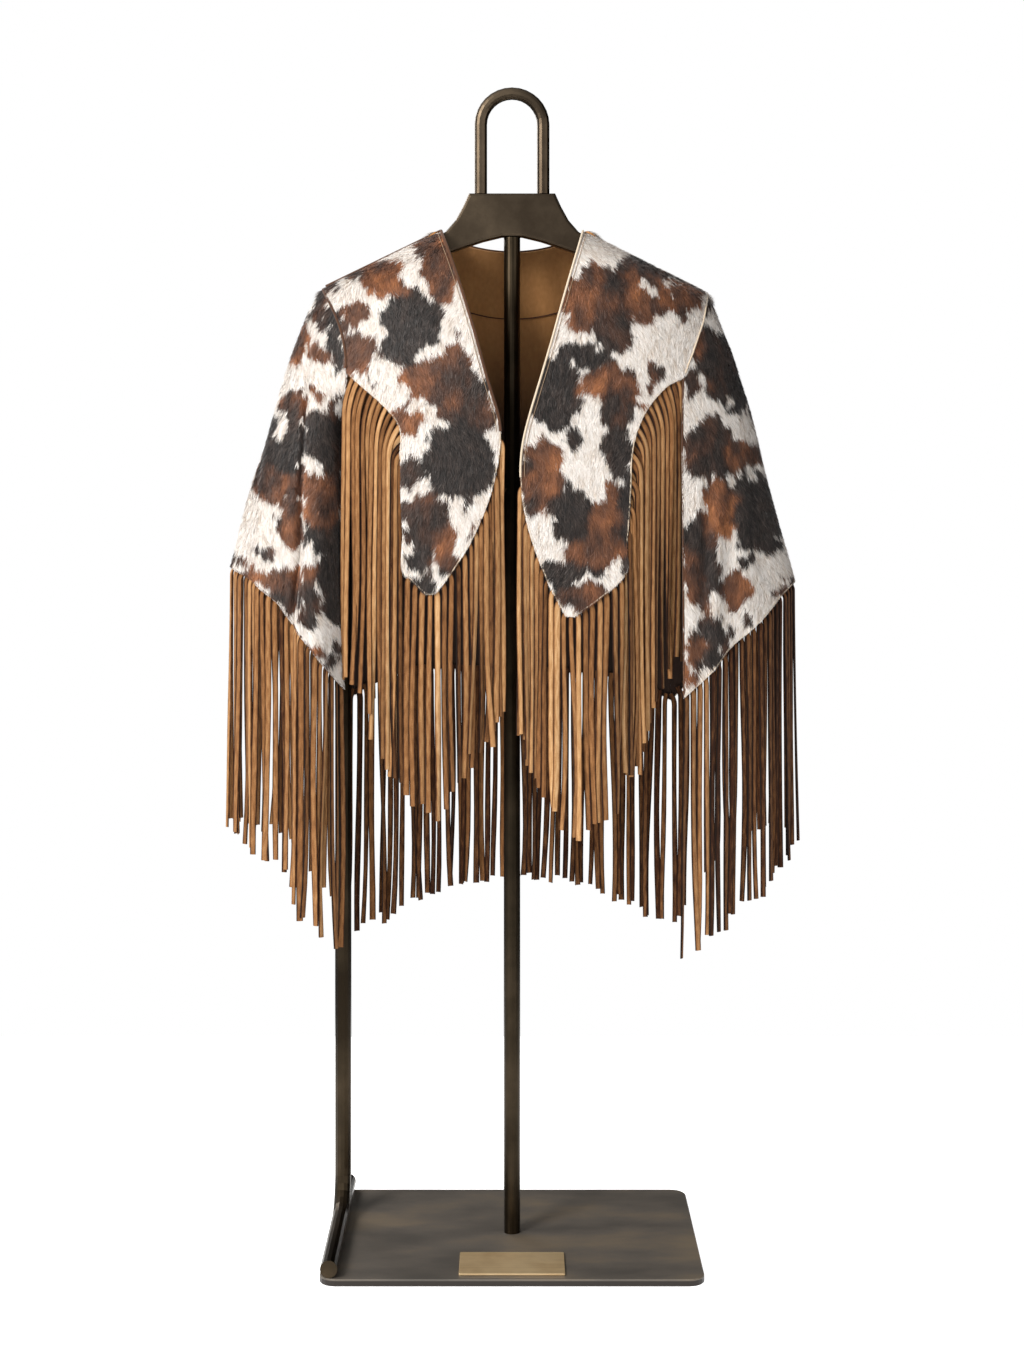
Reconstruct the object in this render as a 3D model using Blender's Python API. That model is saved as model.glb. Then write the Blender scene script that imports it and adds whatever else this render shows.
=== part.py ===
"""Fringed hide cape on a metal display stand.

Metres, +Z up. The origin is the centre of the base plate's underside. +X is to the
viewer's right, and the cape opens towards -Y. Left and right are the viewer's.

The cape hangs as a hollow shell. Its outer face is one closed form: at each height the
section is a superellipse, |x / half_width|^n + |y / depth|^m = 1, with its own depth and
powers in front and behind. The panels are cut from that form and given their thickness.
"""

import math

import bpy
import numpy as np

# ---------------------------------------------------------------- driving dimensions
CLOTH = 0.0020                # thickness of the hide
SEAM = 0.0003                 # clearance between pieces that meet
FACING = 0.0012               # thickness of the neck facing inside

NECK_X, NECK_Z = 0.0817, 1.1583          # where neckline and shoulder seam meet
BACK_NECK_Z = 1.1412                     # lowest point of the neckline behind
SHOULDER_LEFT = (0.2174, 1.0927)         # shoulder points, half width and height
SHOULDER_RIGHT = (0.2243, 1.0881)

BASE = (0.420, 0.300, 0.008)             # base plate: width, depth, height
BASE_CORNER = 0.018
BASE_EDGE = 0.0009
LABEL = (0.116, 0.067, 0.002)            # bare plate on the base
LABEL_CORNER, LABEL_EDGE = 0.0015, 0.0003
LABEL_Y = -0.1055
POLE_RADIUS = 0.0094
TUBE_RADIUS = 0.0096
TUBE_X, TUBE_Y = -0.199, 0.064           # the upright of the side tube
FOOT_FRONT, FOOT_REAR = -0.147, 0.150
BEND_RADIUS = 0.045
ARM_Z = 0.865                            # the side tube's arm to the pole
HANGER_TOP_Z = 1.202
HANGER_HALF_DEPTH = 0.0110
HANGER_ROUND = 0.0034
HANGER_SEAT_Z = 1.1522                   # flat where the pole ends
UNDER_CLOTH = 0.0040                     # from the shoulder seam down to the hanger
ARM_END = 0.0100                         # from the shoulder point in to the arm's end
LOOP_RADIUS, LOOP_HALF_SPAN, LOOP_CENTRE_Z = 0.0072, 0.0359, 1.2817
LOOP_STEPS = 16

STRAND_WIDTH, STRAND_PITCH, STRAND_THICK = 0.0056, 0.0075, 0.0015
ARMHOLE_STRAND_WIDTH, ARMHOLE_STRAND_PITCH = 0.0049, 0.0064
STRAND_UNEVEN = 0.0035                   # how far strand ends wander up and down,
STRAND_SWAY, STRAND_LEAN = 0.0012, 0.0035    # along the hem and outwards
STRIP_RISE, STRIP_DROP, STRIP_THICK, STRIP_GAP = 0.0080, 0.0008, 0.0018, 0.0005

# ---------------------------------------------------------------- tables
# half width of the whole form: (height, half width)
WIDTH_LEFT = ((NECK_Z + 0.0200, NECK_X - 0.0413), (NECK_Z, NECK_X),
              (SHOULDER_LEFT[1], SHOULDER_LEFT[0]), (1.0651, 0.2335),
              (1.0133, 0.2542), (0.9512, 0.2726), (0.8730, 0.2956), (0.7741, 0.3221),
              (0.5600, 0.3780))
WIDTH_RIGHT = ((NECK_Z + 0.0200, NECK_X - 0.0406), (NECK_Z, NECK_X),
               (SHOULDER_RIGHT[1], SHOULDER_RIGHT[0]), (1.0179, 0.2519),
               (0.9535, 0.2726), (0.8902, 0.2887), (0.8304, 0.3048), (0.7568, 0.3232),
               (0.5600, 0.3720))
# depth at the middle: (drop below the neck point, in front, behind)
DEPTH = ((0.000, 0.050, 0.054), (0.016, 0.056, 0.064), (0.038, 0.063, 0.075),
         (0.069, 0.072, 0.086), (0.101, 0.081, 0.094), (0.154, 0.090, 0.102),
         (0.207, 0.096, 0.106), (0.313, 0.104, 0.110), (0.419, 0.110, 0.112),
         (0.525, 0.117, 0.114), (0.900, 0.125, 0.118))
POWERS = {"front": (2.6, 1.7), "back": (3.0, 1.8)}          # n across, m in depth

# line where sleeve and body meet, then the sleeve's inner edge: (height, half width)
ARMHOLE_LEFT = ((SHOULDER_LEFT[1], 0.2172), (1.0707, 0.2042), (1.0471, 0.1933),
                (1.0195, 0.1868), (0.9946, 0.1852), (0.9400, 0.1890), (0.5500, 0.1890))
ARMHOLE_RIGHT = ((SHOULDER_RIGHT[1], 0.2241), (1.0550, 0.2169), (1.0258, 0.2065),
                 (0.9913, 0.1935), (0.9400, 0.1900), (0.5500, 0.1900))

# front panels, neckline edge and outer edge: (height, half width)
NECKLINE_LEFT = ((NECK_Z, NECK_X), (1.1185, 0.0674), (1.0804, 0.0548), (1.0351, 0.0412),
                 (0.9847, 0.0277), (0.9491, 0.0166), (0.9292, 0.0122), (0.9015, 0.0144),
                 (0.8684, 0.0210), (0.8386, 0.0309), (0.8045, 0.0463), (0.7725, 0.0661),
                 (0.7483, 0.0871))
NECKLINE_RIGHT = ((NECK_Z, NECK_X), (1.1092, 0.0673), (1.0690, 0.0558), (1.0239, 0.0434),
                  (0.9825, 0.0311), (0.9458, 0.0199), (0.9126, 0.0122), (0.8794, 0.0099),
                  (0.8463, 0.0132), (0.8078, 0.0221), (0.7693, 0.0364), (0.7440, 0.0485),
                  (0.7242, 0.0605))
OUTER_LEFT = ((0.9809, 0.1698), (0.9662, 0.1526), (0.9494, 0.1356), (0.9315, 0.1243),
              (0.8850, 0.1230), (0.8300, 0.1216), (0.7745, 0.1204), (0.7603, 0.1070),
              (0.7483, 0.0950))
OUTER_RIGHT = ((0.9798, 0.1744), (0.9651, 0.1594), (0.9494, 0.1480), (0.9293, 0.1389),
               (0.9015, 0.1331), (0.8517, 0.1307), (0.8020, 0.1271), (0.7723, 0.1259),
               (0.7439, 0.0970), (0.7242, 0.0680))
# rows of the front panels below the armhole: (height outside, height at the neckline edge)
ROWS_LEFT = ((0.9809, 1.012), (0.9662, 0.990), (0.9494, 0.968), (0.9315, 0.9450),
             (0.9050, 0.9180), (0.8750, 0.8890), (0.8450, 0.8580), (0.8120, 0.8260),
             (0.7745, 0.7930), (0.7603, 0.7680), (0.7483, 0.7483))
ROWS_RIGHT = ((0.9798, 1.010), (0.9651, 0.988), (0.9494, 0.966), (0.9293, 0.9420),
              (0.9015, 0.9130), (0.8680, 0.8810), (0.8350, 0.8480), (0.8020, 0.8140),
              (0.7723, 0.7810), (0.7439, 0.7510), (0.7242, 0.7242))

# sleeve hems: (half width, height)
HEM_LEFT_FRONT = ((0.1890, 0.6400), (0.1933, 0.6452), (0.2037, 0.6702), (0.2300, 0.6883),
                  (0.2420, 0.7080), (0.2452, 0.7199), (0.2702, 0.7413), (0.2924, 0.7594),
                  (0.3221, 0.7741))
HEM_LEFT_BACK = ((0.1890, 0.6150), (0.2150, 0.6420), (0.2400, 0.6750), (0.2700, 0.7150),
                 (0.3000, 0.7550), (0.3221, 0.7741))
HEM_RIGHT_FRONT = ((0.1854, 0.6267), (0.1934, 0.6397), (0.2241, 0.6630), (0.2369, 0.6825),
                   (0.2686, 0.7068), (0.3061, 0.7429), (0.3232, 0.7568))
HEM_RIGHT_BACK = ((0.1900, 0.6090), (0.2150, 0.6350), (0.2400, 0.6680), (0.2700, 0.7050),
                  (0.3000, 0.7380), (0.3232, 0.7568))
# hem of the back panel: (x, height)
HEM_BACK = ((-0.1890, 0.6150), (-0.1700, 0.6270), (-0.1400, 0.6390), (-0.1044, 0.6463),
            (0.0, 0.6438), (0.0949, 0.6403), (0.1300, 0.6340), (0.1600, 0.6240),
            (0.1900, 0.6090))

# heights of the strand ends: flat strips (x, height), sleeves (share of the way round
# from the front edge to the back seam, height)
TIPS_FRONT_LEFT = ((-0.1204, 0.527), (-0.1065, 0.516), (-0.0911, 0.5075), (-0.0801, 0.5065),
                   (-0.0593, 0.539), (-0.0483, 0.551), (-0.0340, 0.574), (-0.0220, 0.589),
                   (-0.0165, 0.607), (-0.0122, 0.612))
TIPS_FRONT_RIGHT = ((0.0100, 0.594), (0.0154, 0.565), (0.0241, 0.549), (0.0406, 0.515),
                    (0.0603, 0.4836), (0.0724, 0.479), (0.0911, 0.491), (0.1098, 0.505),
                    (0.1260, 0.522))
TIPS_ARMHOLE_LEFT = ((-0.1850, 0.656), (-0.1766, 0.649), (-0.1631, 0.638), (-0.1541, 0.608),
                     (-0.1441, 0.5715), (-0.1352, 0.552), (-0.1240, 0.536))
TIPS_ARMHOLE_RIGHT = ((0.1380, 0.548), (0.1419, 0.577), (0.1497, 0.590), (0.1620, 0.626),
                      (0.1699, 0.6445), (0.1801, 0.668), (0.1900, 0.676))
TIPS_BACK = ((-0.1890, 0.330), (-0.1752, 0.337), (-0.1453, 0.351), (-0.1226, 0.370),
             (-0.0866, 0.3815), (-0.0529, 0.390), (0.0, 0.397), (0.0601, 0.391),
             (0.0974, 0.3816), (0.1285, 0.371), (0.1644, 0.3536), (0.1900, 0.339))
TIPS_SLEEVE_LEFT = ((0.00, 0.352), (0.06, 0.356), (0.12, 0.380), (0.20, 0.396),
                    (0.26, 0.432), (0.36, 0.452), (0.50, 0.482), (0.60, 0.474),
                    (0.72, 0.452), (0.84, 0.410), (0.93, 0.365), (1.00, 0.335))
TIPS_SLEEVE_RIGHT = ((0.00, 0.345), (0.06, 0.362), (0.14, 0.378), (0.24, 0.402),
                     (0.34, 0.428), (0.44, 0.452), (0.50, 0.470), (0.60, 0.468),
                     (0.72, 0.446), (0.84, 0.408), (0.93, 0.365), (1.00, 0.340))

# rows of a sleeve, as a share of the way down; the first ones lie along the armhole
SLEEVE_ROWS = (0.0, 0.012, 0.035, 0.070, 0.110, 0.150, 0.210,
               0.290, 0.380, 0.480, 0.580, 0.680, 0.780, 0.870, 0.940, 1.0)
ARMHOLE_ROWS = 7
SLEEVE_COLUMNS = 20
TOP_DROP, TOP_BEND = 0.0006, 0.0017     # how the first row of a sleeve clears the point
FRONT_COLUMNS = 12
SEAM_INSET = 0.0004           # how far the shoulder seam stops short of the point
# columns of each half of the back: shares of the half neck and of the shoulder seam
BACK_NECK_COLUMNS = (0.0, 0.22, 0.44, 0.64, 0.80, 0.91, 0.97)
BACK_SHOULDER_COLUMNS = (0.0, 0.17, 0.36, 0.55, 0.77, 1.0)
# the neck facing: how many rows of the back it lies on, and its share of the neck's width
FACING_ROWS, FACING_SHARE = 7, 0.92
# first row of each neckline table that carries fringe
FRINGE_FROM_LEFT, FRINGE_FROM_RIGHT = 6, 7
BACK_FRINGE = (-0.1865, 0.1875)          # ends of the back's fringe

# largest fold of the left sleeve, its front part laps over the outer part:
# (height, half width of the crease)
CREASE = ((1.0700, 0.2290), (0.8735, 0.2357), (0.8070, 0.2370), (0.7120, 0.2430))
CREASE_LIFT, CREASE_REACH, CREASE_SOFT = 0.0075, 0.024, 0.008
CREASE_TOP, CREASE_FULL = 1.060, 0.980

# finishes: base colour, roughness, metallic
HIDE = ((0.45, 0.33, 0.25), 0.75, 0.0)
HIDE_DARK = ((0.25, 0.14, 0.09), 0.75, 0.0)
SUEDE = ((0.52, 0.30, 0.13), 0.90, 0.0)
BRONZE = ((0.09, 0.07, 0.055), 0.38, 0.9)
BRASS = ((0.60, 0.46, 0.24), 0.35, 1.0)


# ---------------------------------------------------------------- the form of the cape
def look_up(table, key):
    """Piecewise linear value of a two-column table, in any order of its first column."""
    rows = np.array(sorted(table))
    return np.interp(key, rows[:, 0], rows[:, 1])


def side_tables(side):
    """The width and armhole tables of one side."""
    return (WIDTH_LEFT, ARMHOLE_LEFT) if side < 0 else (WIDTH_RIGHT, ARMHOLE_RIGHT)


def half_width(x, z):
    return np.where(np.asarray(x) < 0, look_up(WIDTH_LEFT, z), look_up(WIDTH_RIGHT, z))


def middle_depth(z, facing):
    column = 1 if facing == "front" else 2
    return look_up([(row[0], row[column]) for row in DEPTH], NECK_Z - np.asarray(z))


def form_depth(x, z, facing):
    """Distance of the outer face from the plane y = 0, at x and z."""
    across, inward_power = POWERS[facing]
    left_over = 1.0 - (np.abs(x) / half_width(x, z)) ** across
    return middle_depth(z, facing) * np.clip(left_over, 0.0, None) ** (1.0 / inward_power)


def on_form(x, z, facing):
    """Points of the outer face at x and z, at least half a seam from the plane y = 0."""
    x, z = np.broadcast_arrays(np.asarray(x, float), np.asarray(z, float))
    depth = np.maximum(form_depth(x, z, facing), SEAM / 2)
    return np.stack([x, -depth if facing == "front" else depth, z], axis=-1)


def level(x, y, z, facing):
    across, inward_power = POWERS[facing]
    return ((np.abs(x) / half_width(x, z)) ** across
            + (np.abs(y) / middle_depth(z, facing)) ** inward_power)


def inward(points, facing):
    """Unit vectors into the hollow: minus the slope of the form's level function."""
    x, y, z = points[..., 0], points[..., 1], points[..., 2]
    step, rise = 0.0005, 0.012
    slope = np.stack([
        (level(x + step, y, z, facing) - level(x - step, y, z, facing)) / (2 * step),
        (level(x, y + step, z, facing) - level(x, y - step, z, facing)) / (2 * step),
        (level(x, y, z + rise, facing) - level(x, y, z - rise, facing)) / (2 * rise)], axis=-1)
    return -slope / np.linalg.norm(slope, axis=-1, keepdims=True)


# ---------------------------------------------------------------- making objects
def finish_material(name, finish):
    colour, roughness, metallic = finish
    material = bpy.data.materials.new(name)
    material.use_nodes = True
    shader = material.node_tree.nodes["Principled BSDF"]
    shader.inputs["Base Color"].default_value = (*colour, 1.0)
    shader.inputs["Roughness"].default_value = roughness
    shader.inputs["Metallic"].default_value = metallic
    return material


def turned_out(points, faces):
    """The faces, reversed if the closed surface they make is inside out."""
    volume = 0.0
    for face in faces:
        first = points[face[0]]
        for one, two in zip(face[1:-1], face[2:]):
            volume += np.dot(first, np.cross(points[one], points[two]))
    return faces if volume > 0 else [tuple(reversed(face)) for face in faces]


def solid(name, points, faces, finish, smooth=True):
    points = np.asarray(points, float)
    mesh = bpy.data.meshes.new(name)
    mesh.from_pydata(points.tolist(), [], turned_out(points, faces))
    mesh.update()
    if smooth:
        mesh.shade_smooth()
        mesh.set_sharp_from_angle(angle=math.radians(40))
    thing = bpy.data.objects.new(name, mesh)
    thing.data.materials.append(finish_material(name, finish))
    bpy.context.scene.collection.objects.link(thing)
    return thing


def wall(name, outer, inner, finish):
    """Closed wall between two grids of points, with a rim round the four sides."""
    rows, columns = outer.shape[:2]
    points = np.concatenate([outer.reshape(-1, 3), inner.reshape(-1, 3)])
    below = rows * columns
    faces = []
    for i in range(rows - 1):
        for j in range(columns - 1):
            a = i * columns + j
            opposite = a + columns + 1
            for half in ((a, a + columns, opposite), (a, opposite, a + 1)):
                faces.append(half)
                faces.append(tuple(below + corner for corner in reversed(half)))
    rim = [(0, j) for j in range(columns)]
    rim += [(i, columns - 1) for i in range(1, rows)]
    rim += [(rows - 1, j) for j in range(columns - 2, -1, -1)]
    rim += [(i, 0) for i in range(rows - 2, 0, -1)]
    loop = [i * columns + j for i, j in rim]
    for a, b in zip(loop, loop[1:] + loop[:1]):
        faces.append((a, b, b + below, a + below))
    return solid(name, points, faces, finish)


def loft(name, rings, finish):
    """Closed solid through rings of equal count, flat at both ends."""
    count = len(rings[0])
    points = np.concatenate([np.asarray(ring, float) for ring in rings])
    faces = [tuple(range(count)), tuple(reversed(range(len(points) - count, len(points))))]
    for k in range(len(rings) - 1):
        for j in range(count):
            a, b = k * count + j, k * count + (j + 1) % count
            faces.append((b, a, a + count, b + count))
    return solid(name, points, faces, finish)


def tube(name, path, radius, sides, finish):
    """Round tube along a path, its rings turned no more than the path turns."""
    path = np.asarray(path, float)
    ahead = np.diff(path, axis=0)
    ahead /= np.linalg.norm(ahead, axis=1, keepdims=True)
    tangent = np.concatenate([ahead[:1], ahead[:-1] + ahead[1:], ahead[-1:]])
    tangent /= np.linalg.norm(tangent, axis=1, keepdims=True)
    turn = [2 * math.pi * k / sides for k in range(sides)]
    along_x = abs(tangent[0, 0]) > 0.9
    across = np.array([0.0, 1.0, 0.0]) if along_x else np.array([1.0, 0.0, 0.0])
    rings = []
    for point, along in zip(path, tangent):
        across = across - along * np.dot(across, along)
        across /= np.linalg.norm(across)
        other = np.cross(along, across)
        rings.append([point + radius * (math.cos(t) * across + math.sin(t) * other) for t in turn])
    return loft(name, rings, finish)


def arc(centre, start, end, steps):
    """Points of a quarter turn about a centre, from centre + start to centre + end."""
    centre, start, end = (np.asarray(v, float) for v in (centre, start, end))
    turn = [0.5 * math.pi * k / steps for k in range(steps + 1)]
    return [centre + start * math.cos(t) + end * math.sin(t) for t in turn]


def inset(outline, distance):
    """A counter-clockwise outline moved inwards at each corner along its mitre."""
    outline = np.asarray(outline, float)
    forward = np.roll(outline, -1, axis=0) - outline
    forward /= np.linalg.norm(forward, axis=1, keepdims=True)
    normal = np.stack([-forward[:, 1], forward[:, 0]], axis=1)
    mitre = normal + np.roll(normal, 1, axis=0)
    mitre /= (mitre * normal).sum(axis=1, keepdims=True)
    return outline + distance * mitre


def rounded_rectangle(width, depth, corner, steps):
    points = []
    for quarter in range(4):
        sx, sy = ((1, 1), (-1, 1), (-1, -1), (1, -1))[quarter]
        centre = (sx * (width / 2 - corner), sy * (depth / 2 - corner))
        for k in range(steps + 1):
            turn = 0.5 * math.pi * (quarter + k / steps)
            points.append((centre[0] + corner * math.cos(turn), centre[1] + corner * math.sin(turn)))
    return np.array(points)


def slab(name, outline, bottom, top, edge, centre_y, finish):
    """Flat plate with a small bevel round both faces."""
    rings = []
    for height, step in ((bottom, edge), (bottom + edge, 0), (top - edge, 0), (top, edge)):
        ring = inset(outline, step)
        rings.append([(x, y + centre_y, height) for x, y in ring])
    return loft(name, rings, finish)


# ---------------------------------------------------------------- the stand
def build_base():
    outline = rounded_rectangle(BASE[0], BASE[1], BASE_CORNER, 5)
    slab("base_plate", outline, 0.0, BASE[2], BASE_EDGE, 0.0, BRONZE)
    bare = rounded_rectangle(LABEL[0], LABEL[1], LABEL_CORNER, 2)
    bottom = BASE[2] + SEAM
    slab("label_plate", bare, bottom, bottom + LABEL[2], LABEL_EDGE, LABEL_Y, BRASS)


def build_pole():
    ends = [(0, 0, BASE[2] + SEAM), (0, 0, HANGER_SEAT_Z - SEAM)]
    tube("centre_pole", ends, POLE_RADIUS, 24, BRONZE)


def build_side_tube():
    """Foot along the plate's left edge, a bend up, the upright, and an arm to the pole."""
    foot_z = BASE[2] + SEAM + TUBE_RADIUS
    to_pole = np.array([-TUBE_X, -TUBE_Y, 0.0])
    to_pole /= np.linalg.norm(to_pole)
    low = np.array([TUBE_X, TUBE_Y - BEND_RADIUS, foot_z + BEND_RADIUS])
    high = np.array([TUBE_X, TUBE_Y, ARM_Z - BEND_RADIUS]) + BEND_RADIUS * to_pole
    path = [np.array([TUBE_X, FOOT_FRONT, foot_z])]
    path += arc(low, (0, 0, -BEND_RADIUS), (0, BEND_RADIUS, 0), 7)
    path += arc(high, -BEND_RADIUS * to_pole, (0, 0, BEND_RADIUS), 7)
    path.append(np.array([0.0, 0.0, ARM_Z]))
    side_tube = tube("side_tube", path, TUBE_RADIUS, 14, BRONZE)

    stub_ends = [(TUBE_X, TUBE_Y - BEND_RADIUS - 0.020, foot_z), (TUBE_X, FOOT_REAR, foot_z)]
    stub = tube("stub_guide", stub_ends, TUBE_RADIUS - 0.0004, 14, BRONZE)
    saddle_ends = [(0, 0, ARM_Z - 0.05), (0, 0, ARM_Z + 0.05)]
    saddle = tube("saddle_guide", saddle_ends, POLE_RADIUS + SEAM, 24, BRONZE)
    for guide, operation in ((stub, "UNION"), (saddle, "DIFFERENCE")):
        guide.hide_render = True
        guide.display_type = "WIRE"
        cut = side_tube.modifiers.new(guide.name, "BOOLEAN")
        cut.operation = operation
        cut.object = guide


def ridge(side, x):
    """Height of the shoulder seam at a distance x from the middle."""
    tip_x, tip_z = SHOULDER_LEFT if side < 0 else SHOULDER_RIGHT
    return NECK_Z + (x - NECK_X) * (tip_z - NECK_Z) / (tip_x - NECK_X)


def hanger_half(side):
    """Outline of one half, from the top of the block round to the seat of the pole."""
    tip_x = (SHOULDER_LEFT if side < 0 else SHOULDER_RIGHT)[0]
    end = tip_x - ARM_END
    end_z = ridge(side, end) - UNDER_CLOTH
    flare = [(0.0495, HANGER_TOP_Z), (0.0562, 1.1870), (0.0650, 1.1710), (0.0765, 1.1578)]
    arm = [(0.0850, ridge(side, 0.0850) - UNDER_CLOTH), (end, end_z - 0.0007),
           (end + 0.0045, end_z - 0.005), (end + 0.0045, end_z - 0.012),
           (end - 0.001, end_z - 0.018)]
    underside = [(0.0762, 1.1322), (0.0560, 1.1395), (0.0330, 1.1470), (0.0115, HANGER_SEAT_Z)]
    return flare + arm + underside


def build_hanger():
    """Block and two arms, one outline lofted through its depth with rounded edges."""
    right = hanger_half(1)
    left = [(-x, z) for x, z in reversed(hanger_half(-1))]
    outline = np.array(list(reversed(right)) + list(reversed(left)))
    rings = []
    for share, step in ((-1.0, 1.0), (-0.87, 0.32), (-0.58, 0.0),
                        (0.58, 0.0), (0.87, 0.32), (1.0, 1.0)):
        ring = inset(outline, step * HANGER_ROUND)
        rings.append([(x, share * HANGER_HALF_DEPTH, z) for x, z in ring])
    loft("hanger", rings, BRONZE)


def build_loop():
    """Upright loop: two legs and a half circle of round rod."""
    foot = HANGER_TOP_Z + SEAM
    path = [(-LOOP_HALF_SPAN, 0.0, foot)]
    for k in range(LOOP_STEPS + 1):
        turn = math.pi * (1 - k / LOOP_STEPS)
        path.append((LOOP_HALF_SPAN * math.cos(turn), 0.0,
                     LOOP_CENTRE_Z + LOOP_HALF_SPAN * math.sin(turn)))
    path.append((LOOP_HALF_SPAN, 0.0, foot))
    tube("top_loop", path, LOOP_RADIUS, 14, BRONZE)


# ---------------------------------------------------------------- sleeves
def sleeve_edge(side, z):
    return look_up(side_tables(side)[1], z)


def ring_point(side, share, z):
    """Point of a sleeve at height z, share -1 at its front edge, 0 outside, +1 behind."""
    points = np.zeros(np.broadcast(share, z).shape + (3,))
    share, z = np.broadcast_arrays(np.asarray(share, float), np.asarray(z, float))
    width = look_up(side_tables(side)[0], z)
    edge = sleeve_edge(side, z) + SEAM / 2
    for facing, chosen in (("front", share <= 0), ("back", share > 0)):
        across, inward_power = POWERS[facing]
        last = np.arccos(np.clip(edge / width, 0, 1) ** (across / 2))
        angle = np.abs(share) * last
        x = width * np.cos(angle) ** (2 / across)
        y = middle_depth(z, facing) * np.sin(angle) ** (2 / inward_power)
        y = -y if facing == "front" else y
        points[chosen] = np.stack([side * x, y, z], axis=-1)[chosen]
    return points


def crease_lift(points):
    """Soft step across the crease: the front part stands out, the outer part sinks."""
    x, z = np.abs(points[..., 0]), points[..., 2]
    away = x - look_up(CREASE, z)
    strength = np.clip((CREASE_TOP - z) / (CREASE_TOP - CREASE_FULL), 0, 1)
    strength *= np.clip((x - sleeve_edge(-1, z)) / CREASE_REACH, 0, 1)
    return (-CREASE_LIFT * strength * np.tanh(away / CREASE_SOFT)
            * np.exp(-np.abs(away) / CREASE_REACH))


def sleeve_hem(side, share):
    """Height of the hem at each share of the way round, where form and hem line meet."""
    front, back = ((HEM_LEFT_FRONT, HEM_LEFT_BACK) if side < 0
                   else (HEM_RIGHT_FRONT, HEM_RIGHT_BACK))
    z = np.full(share.shape, 0.70)
    for _ in range(30):
        x = np.abs(ring_point(side, share, z)[..., 0])
        z = np.where(share <= 0, look_up(front, x), look_up(back, x))
    return z


def sleeve_rows(side, share):
    """Heights of the rows of a sleeve at each share, first row at the shoulder point."""
    tip_z = (SHOULDER_LEFT if side < 0 else SHOULDER_RIGHT)[1]
    top = tip_z - TOP_DROP - TOP_BEND * share ** 2
    down = np.array(SLEEVE_ROWS)[:, None]
    return top + (sleeve_hem(side, share) - top) * down


def both_inward(points):
    """Unit vectors into the hollow, for points in front and behind together."""
    front = points[..., 1:2] <= 0
    return np.where(front, inward(points, "front"), inward(points, "back"))


def sleeve_surface(side, share):
    z = sleeve_rows(side, share)
    points = ring_point(side, np.broadcast_to(share, z.shape), z)
    into = both_inward(points)
    if side < 0:
        in_front = points[..., 1] < -0.004
        points[..., 1] -= np.where(in_front, crease_lift(points), 0.0)
    return points, into


def build_sleeve(side, name):
    share = np.linspace(-1.0, 1.0, SLEEVE_COLUMNS + 1)
    outer, into = sleeve_surface(side, share)
    wall(name, outer, outer + into * CLOTH, HIDE)


# ---------------------------------------------------------------- body panels
def edge_rows(side, facing):
    """Heights at which the rows of a body panel meet the sleeve."""
    share = np.array([-1.0 if facing == "front" else 1.0])
    return sleeve_rows(side, share)[:, 0]


def build_front(side, name):
    """Front panel: rows run from the neckline edge to the outer edge."""
    neckline, outer_edge, lower = ((NECKLINE_LEFT, OUTER_LEFT, ROWS_LEFT) if side < 0
                                   else (NECKLINE_RIGHT, OUTER_RIGHT, ROWS_RIGHT))
    tip_x, tip_z = SHOULDER_LEFT if side < 0 else SHOULDER_RIGHT
    along_armhole = edge_rows(side, "front")[:ARMHOLE_ROWS]
    neck_end = lower[0][1] + 0.020
    share_down = (tip_z - along_armhole) / (tip_z - along_armhole[-1])
    z_out = np.concatenate([[tip_z], along_armhole, [row[0] for row in lower]])
    z_in = np.concatenate([[NECK_Z], NECK_Z + (neck_end - NECK_Z) * share_down,
                           [row[1] for row in lower]])
    x_out = np.concatenate([[tip_x - SEAM_INSET], sleeve_edge(side, along_armhole) - SEAM / 2,
                            look_up(outer_edge, [row[0] for row in lower])])
    x_in = look_up(neckline, z_in)
    across = np.linspace(0.0, 1.0, FRONT_COLUMNS + 1)
    x = x_in[:, None] + (x_out - x_in)[:, None] * across
    z = z_in[:, None] + (z_out - z_in)[:, None] * across
    outer = on_form(side * x, z, "front")
    outer[0, :, 1] = -SEAM / 2
    wall(name, outer, outer + inward(outer, "front") * CLOTH, HIDE)


def back_top(x):
    """Upper edge of the back: shoulder seams, and the neckline's dip between them."""
    side = np.sign(x)
    on_ridge = np.where(side < 0, ridge(-1, np.abs(x)), ridge(1, np.abs(x)))
    dip = BACK_NECK_Z + (NECK_Z - BACK_NECK_Z) * (np.abs(x) / NECK_X) ** 2
    return np.where(np.abs(x) < NECK_X, dip, on_ridge)


def back_surface():
    """Outer points of the back panel and their directions into the hollow."""
    half_share, x_edge, down = {}, {}, {}
    for side in (-1, 1):
        tip_x, tip_z = SHOULDER_LEFT if side < 0 else SHOULDER_RIGHT
        neck = NECK_X / tip_x
        half_share[side] = np.concatenate([neck * np.array(BACK_NECK_COLUMNS),
                                           neck + (1 - neck) * np.array(BACK_SHOULDER_COLUMNS)])
        rows = np.concatenate([[tip_z], edge_rows(side, "back")])
        edge = sleeve_edge(side, rows) - SEAM / 2
        edge[0] = tip_x - SEAM_INSET
        x_edge[side] = edge[:, None]
        down[side] = ((rows[0] - rows) / (rows[0] - rows[-1]))[:, None]
    share = np.concatenate([-half_share[-1][:0:-1], half_share[1]])
    x = share * np.where(share < 0, x_edge[-1], x_edge[1])
    mix = (share + 1) / 2
    low = down[-1] * (1 - mix) + down[1] * mix
    top = back_top(x[0])
    hem = look_up(HEM_BACK, x[-1])
    z = top + (hem - top) * low
    outer = on_form(x, z, "back")
    on_seam = np.abs(x[0]) >= NECK_X - 1e-6
    outer[0, on_seam, 1] = SEAM / 2
    return outer, inward(outer, "back")


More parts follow.
